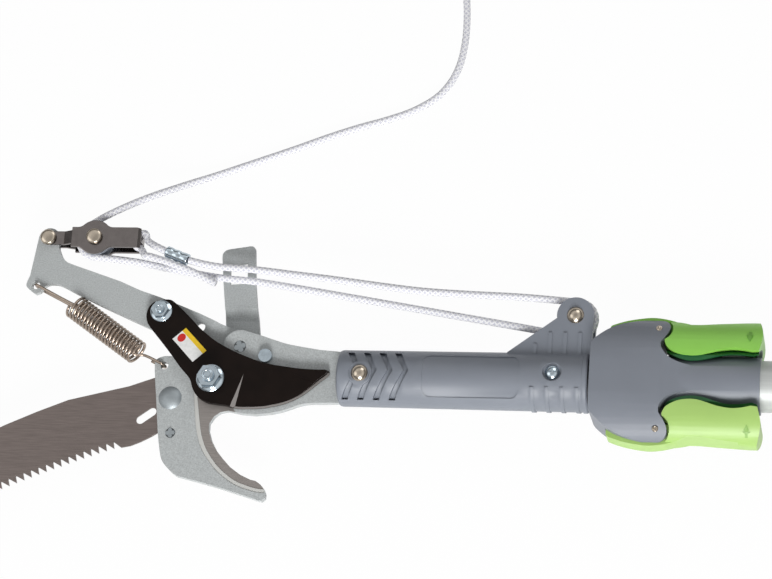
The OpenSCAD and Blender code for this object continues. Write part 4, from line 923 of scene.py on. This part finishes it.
def bladeLabel():
    first, second, third, fourth = vectors(labelShape["corners"])
    level, film = labelShape["level"], labelShape["film"]
    parts = {"labelFilm": (first, second, third, fourth)}
    band = labelShape["band"]
    parts["labelBand"] = (first, second, second.lerp(third, band), first.lerp(fourth, band))
    across, down = labelShape["spotAt"]
    middle = first.lerp(second, across) + (fourth - first) * down
    turns = [2 * math.pi * i / labelShape["spotSides"] for i in range(labelShape["spotSides"])]
    way = (second - first).normalized()
    side = Vector((-way.y, way.x))
    parts["labelSpot"] = [middle + way * labelShape["spotSize"][0] * math.cos(a)
                          + side * labelShape["spotSize"][1] * math.sin(a) for a in turns]
    for i, (name, outline) in enumerate(parts.items()):
        top = level + film * (1 if i == 0 else labelShape["raised"])
        material = labelFilm(name + "Colour", labelTones[name])
        piece = flatPlate(name, [tuple(p) for p in outline], level + labelShape["lift"], top, material)
        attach(piece, "blade")


# the crimped ends of the lever pin and the saw's stop rivet, each pressed into lobes
crimpEnds = {"leverPin": {"at": (-66, 19), "radius": 3.9, "turn": 20, "high": 2.66},
             "sawStop": {"at": (-106.1, -38.8), "radius": 3.1, "turn": 5, "high": 3.1}}
crimpShape = {"lobes": 4, "waist": 0.5, "fullness": 0.6, "steps": 12, "low": 2.45, "rounding": 0.08}


def crimpedEnds():
    for name, end in crimpEnds.items():
        count = crimpShape["lobes"] * crimpShape["steps"]
        outline = []
        for i in range(count):
            a = 2 * math.pi * i / count
            lobe = abs(math.cos(a * crimpShape["lobes"] / 2)) ** crimpShape["fullness"]
            reach = end["radius"] * (crimpShape["waist"] + (1 - crimpShape["waist"]) * lobe)
            way = a + math.radians(end["turn"])
            outline.append((end["at"][0] + reach * math.cos(way), end["at"][1] + reach * math.sin(way)))
        piece = flatPlate(name + "Crimp", outline, crimpShape["low"], end["high"], dullZinc,
                          crimpShape["rounding"])
        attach(piece, "head_and_pole")


# rings that stand for the chamfered ends of the bolts and the drives of the latch pins
ringEnds = {
    "blade_pivot_bolt": {"radius": 3.6, "rise": 0.5, "wide": 1.5, "finish": "zinc", "body": "head_and_pole"},
    "link_bolt": {"radius": 2.7, "rise": 0.4, "wide": 1.2, "finish": "zinc", "body": "blade"},
}
pinEnd = {"radius": 1.9, "rise": 0.35, "wide": 1.1}
# section of a ring: how far it reaches into the bolt, and shares of its rise and of its width
ringShape = {"foot": -0.2, "shoulder": 0.5, "crownFrom": 0.3, "crownTo": 0.7}
pinRadius = 2


def middleOf(node):
    low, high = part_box(node)
    return ((low + high) / 2 - socketMouth) * 1000


def topOf(node):
    return (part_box(node)[1].z - socketMouth.z) * 1000


def endRing(name, centre, end, finishName, body):
    outer, rise, wide = end["radius"], end["rise"], end["wide"]
    foot, shoulder = ringShape["foot"], rise * ringShape["shoulder"]
    profile = [(foot, outer), (shoulder, outer), (rise, outer - wide * ringShape["crownFrom"]),
               (rise, outer - wide * ringShape["crownTo"]), (shoulder, outer - wide), (foot, outer - wide),
               (foot, outer)]
    ring = lathe(name, profile, centre, (0, 0, 1), roundSteps, finish[finishName])
    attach(ring, body)


# flat domed heads of the block's rivet and axle
rivetHeads = {"block_axle": 5.1, "block_rivet": 5.1}
rivetSteps = 36
rivetShape = ((-2.4, 1.0), (-1.0, 0.98), (-0.45, 0.86), (-0.1, 0.6), (0.1, 0.3), (0.15, 0.0))


def blockRivets():
    for node, radius in rivetHeads.items():
        middle = middleOf(node)
        profile = [(along, out * radius) for along, out in rivetShape]
        centre = (middle.x, middle.y, topOf(node))
        head = lathe(node + "Head", profile, centre, (0, 0, 1), rivetSteps, finish["nickel"])
        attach(head, "block")


def boltEnds():
    for node, end in ringEnds.items():
        middle = middleOf(node)
        endRing(node + "End", (middle.x, middle.y, topOf(node)), end, end["finish"], end["body"])
    pins = middleOf("latch_pins")
    low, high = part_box("latch_pins")
    apart = (high.y - low.y) * 1000 / 2 - pinRadius
    for side, name in ((1, "upper"), (-1, "lower")):
        centre = (pins.x, pins.y + side * apart, topOf("latch_pins"))
        endRing(name + "PinEnd", centre, pinEnd, "nickel", "head_and_pole")


# plain moulded arrows that show where to press, in a darker green painted in as the shade round their relief
arrowShape = {"length": 7.0, "head": 4.2, "width": 4.6, "shaft": 1.7, "height": 0.5, "sunk": 0.6, "cuts": 4}
arrowPlaces = {"upper": {"at": (256.2, 26.8), "way": -1, "tone": tint(112, 172, 62)},
               "lower": {"at": (255.7, -32.3), "way": 1, "tone": tint(140, 182, 88)}}


rayStart = 40


def frontOf(thing, x, y):
    # height of a piece's front surface above the pole's axis, in millimetres
    found, hit = thing.ray_cast(spot(x, y, rayStart), Vector((0, 0, -1)))[:2]
    return (hit.z - socketMouth.z) * 1000 if found else 0.0


def latchArrows():
    for name, arrow in arrowPlaces.items():
        (x, y), way = arrow["at"], arrow["way"]
        half, head = arrowShape["length"] / 2, arrowShape["length"] / 2 - arrowShape["head"]
        wide, thin = arrowShape["width"] / 2, arrowShape["shaft"] / 2
        cuts = arrowShape["cuts"]
        outline = [(-thin, -half), (thin, -half), (thin, head), (wide, head), (0, half), (-wide, head),
                   (-thin, head)]
        outline = [(x + a, y + way * b) for a, b in outline]
        outline = [(a[0] + (b[0] - a[0]) * k / cuts, a[1] + (b[1] - a[1]) * k / cuts)
                   for a, b in zip(outline, outline[1:] + outline[:1]) for k in range(cuts)]
        piece = flatPlate(name + "Arrow", outline, 0, 1, moulded(name + "ArrowShadeGreen", arrow["tone"]))
        middle = spot(0, 0, 0.5).z
        for vert in piece.data.vertices:
            place = (vert.co - socketMouth) * 1000
            front = frontOf(frame["nodes"]["latch_lever_" + name], place.x, place.y)
            rise = arrowShape["height"] if vert.co.z > middle else -arrowShape["sunk"]
            vert.co.z = spot(0, 0, front + rise).z
        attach(piece, name + "_latch")


bladeLabel()
crimpedEnds()
boltEnds()
blockRivets()
latchArrows()
print("label, bolt ends and arrows placed")

# eased edges on the CAD pieces, in millimetres
edgeSizes = {
    "frame_plate": 0.35, "cutting_blade": 0.2, "lever_arm": 0.4, "rope_guide": 0.35, "block_strap": 0.35,
    "head_socket": 0.35, "connector_housing": 0.9, "latch_lever_upper": 1.1, "latch_lever_lower": 1.1,
    "blade_pivot_nut": 0.35, "link_nut": 0.3, "blade_pivot_bolt": 0.5, "link_bolt": 0.4, "stop_pin": 0.5,
    "saw_wing_nut": 0.4, "coupling_spigot": 0.3, "pole_end_cap": 1.0, "pole_grip": 0.8, "saw_blade": 0.1,
    "pole_screw": 0.4, "latch_pins": 0.4, "block_sheave": 0.3, "head_sheave": 0.3,
}
edgeAngle = 30
# pieces with curved plastic walls, which are shaded smooth
smoothNodes = ("connector_housing", "latch_lever_upper", "latch_lever_lower", "pole_grip", "pole_end_cap")
edgeMergeGap = 0.00001
edgeSegments = 2


def smoothingNodes():
    # shades gentle bends smooth and leaves sharp edges sharp
    group = bpy.data.node_groups.new("smoothBends", "GeometryNodeTree")
    for way in ("INPUT", "OUTPUT"):
        group.interface.new_socket(name="Geometry", in_out=way, socket_type="NodeSocketGeometry")
    nodes, links = group.nodes, group.links
    start, end = nodes.new("NodeGroupInput"), nodes.new("NodeGroupOutput")
    plain = nodes.new("GeometryNodeRemoveAttribute")
    plain.inputs["Name"].default_value = "custom_normal"
    faces, edges = nodes.new("GeometryNodeSetShadeSmooth"), nodes.new("GeometryNodeSetShadeSmooth")
    faces.domain = "FACE"
    edges.domain = "EDGE"
    angle, gentle = nodes.new("GeometryNodeInputMeshEdgeAngle"), nodes.new("FunctionNodeCompare")
    gentle.operation = "LESS_THAN"
    gentle.inputs[1].default_value = math.radians(edgeAngle)
    links.new(start.outputs[0], plain.inputs[0])
    links.new(plain.outputs[0], faces.inputs[0])
    links.new(faces.outputs[0], edges.inputs[0])
    links.new(angle.outputs["Unsigned Angle"], gentle.inputs[0])
    links.new(gentle.outputs[0], edges.inputs["Shade Smooth"])
    links.new(edges.outputs[0], end.inputs[0])
    return group


smoothBends = smoothingNodes()


def easeEdges(node, size):
    thing = frame["nodes"][node]
    join = thing.modifiers.new("join", "WELD")
    join.merge_threshold = edgeMergeGap
    if node in smoothNodes:
        thing.modifiers.new("smooth", "NODES").node_group = smoothBends
    ease = thing.modifiers.new("ease", "BEVEL")
    ease.width = size / 1000
    ease.segments = edgeSegments
    ease.limit_method = "ANGLE"
    ease.angle_limit = math.radians(edgeAngle)
    ease.use_clamp_overlap = True


for node, size in edgeSizes.items():
    easeEdges(node, size)
print("edges eased on", len(edgeSizes), "pieces")
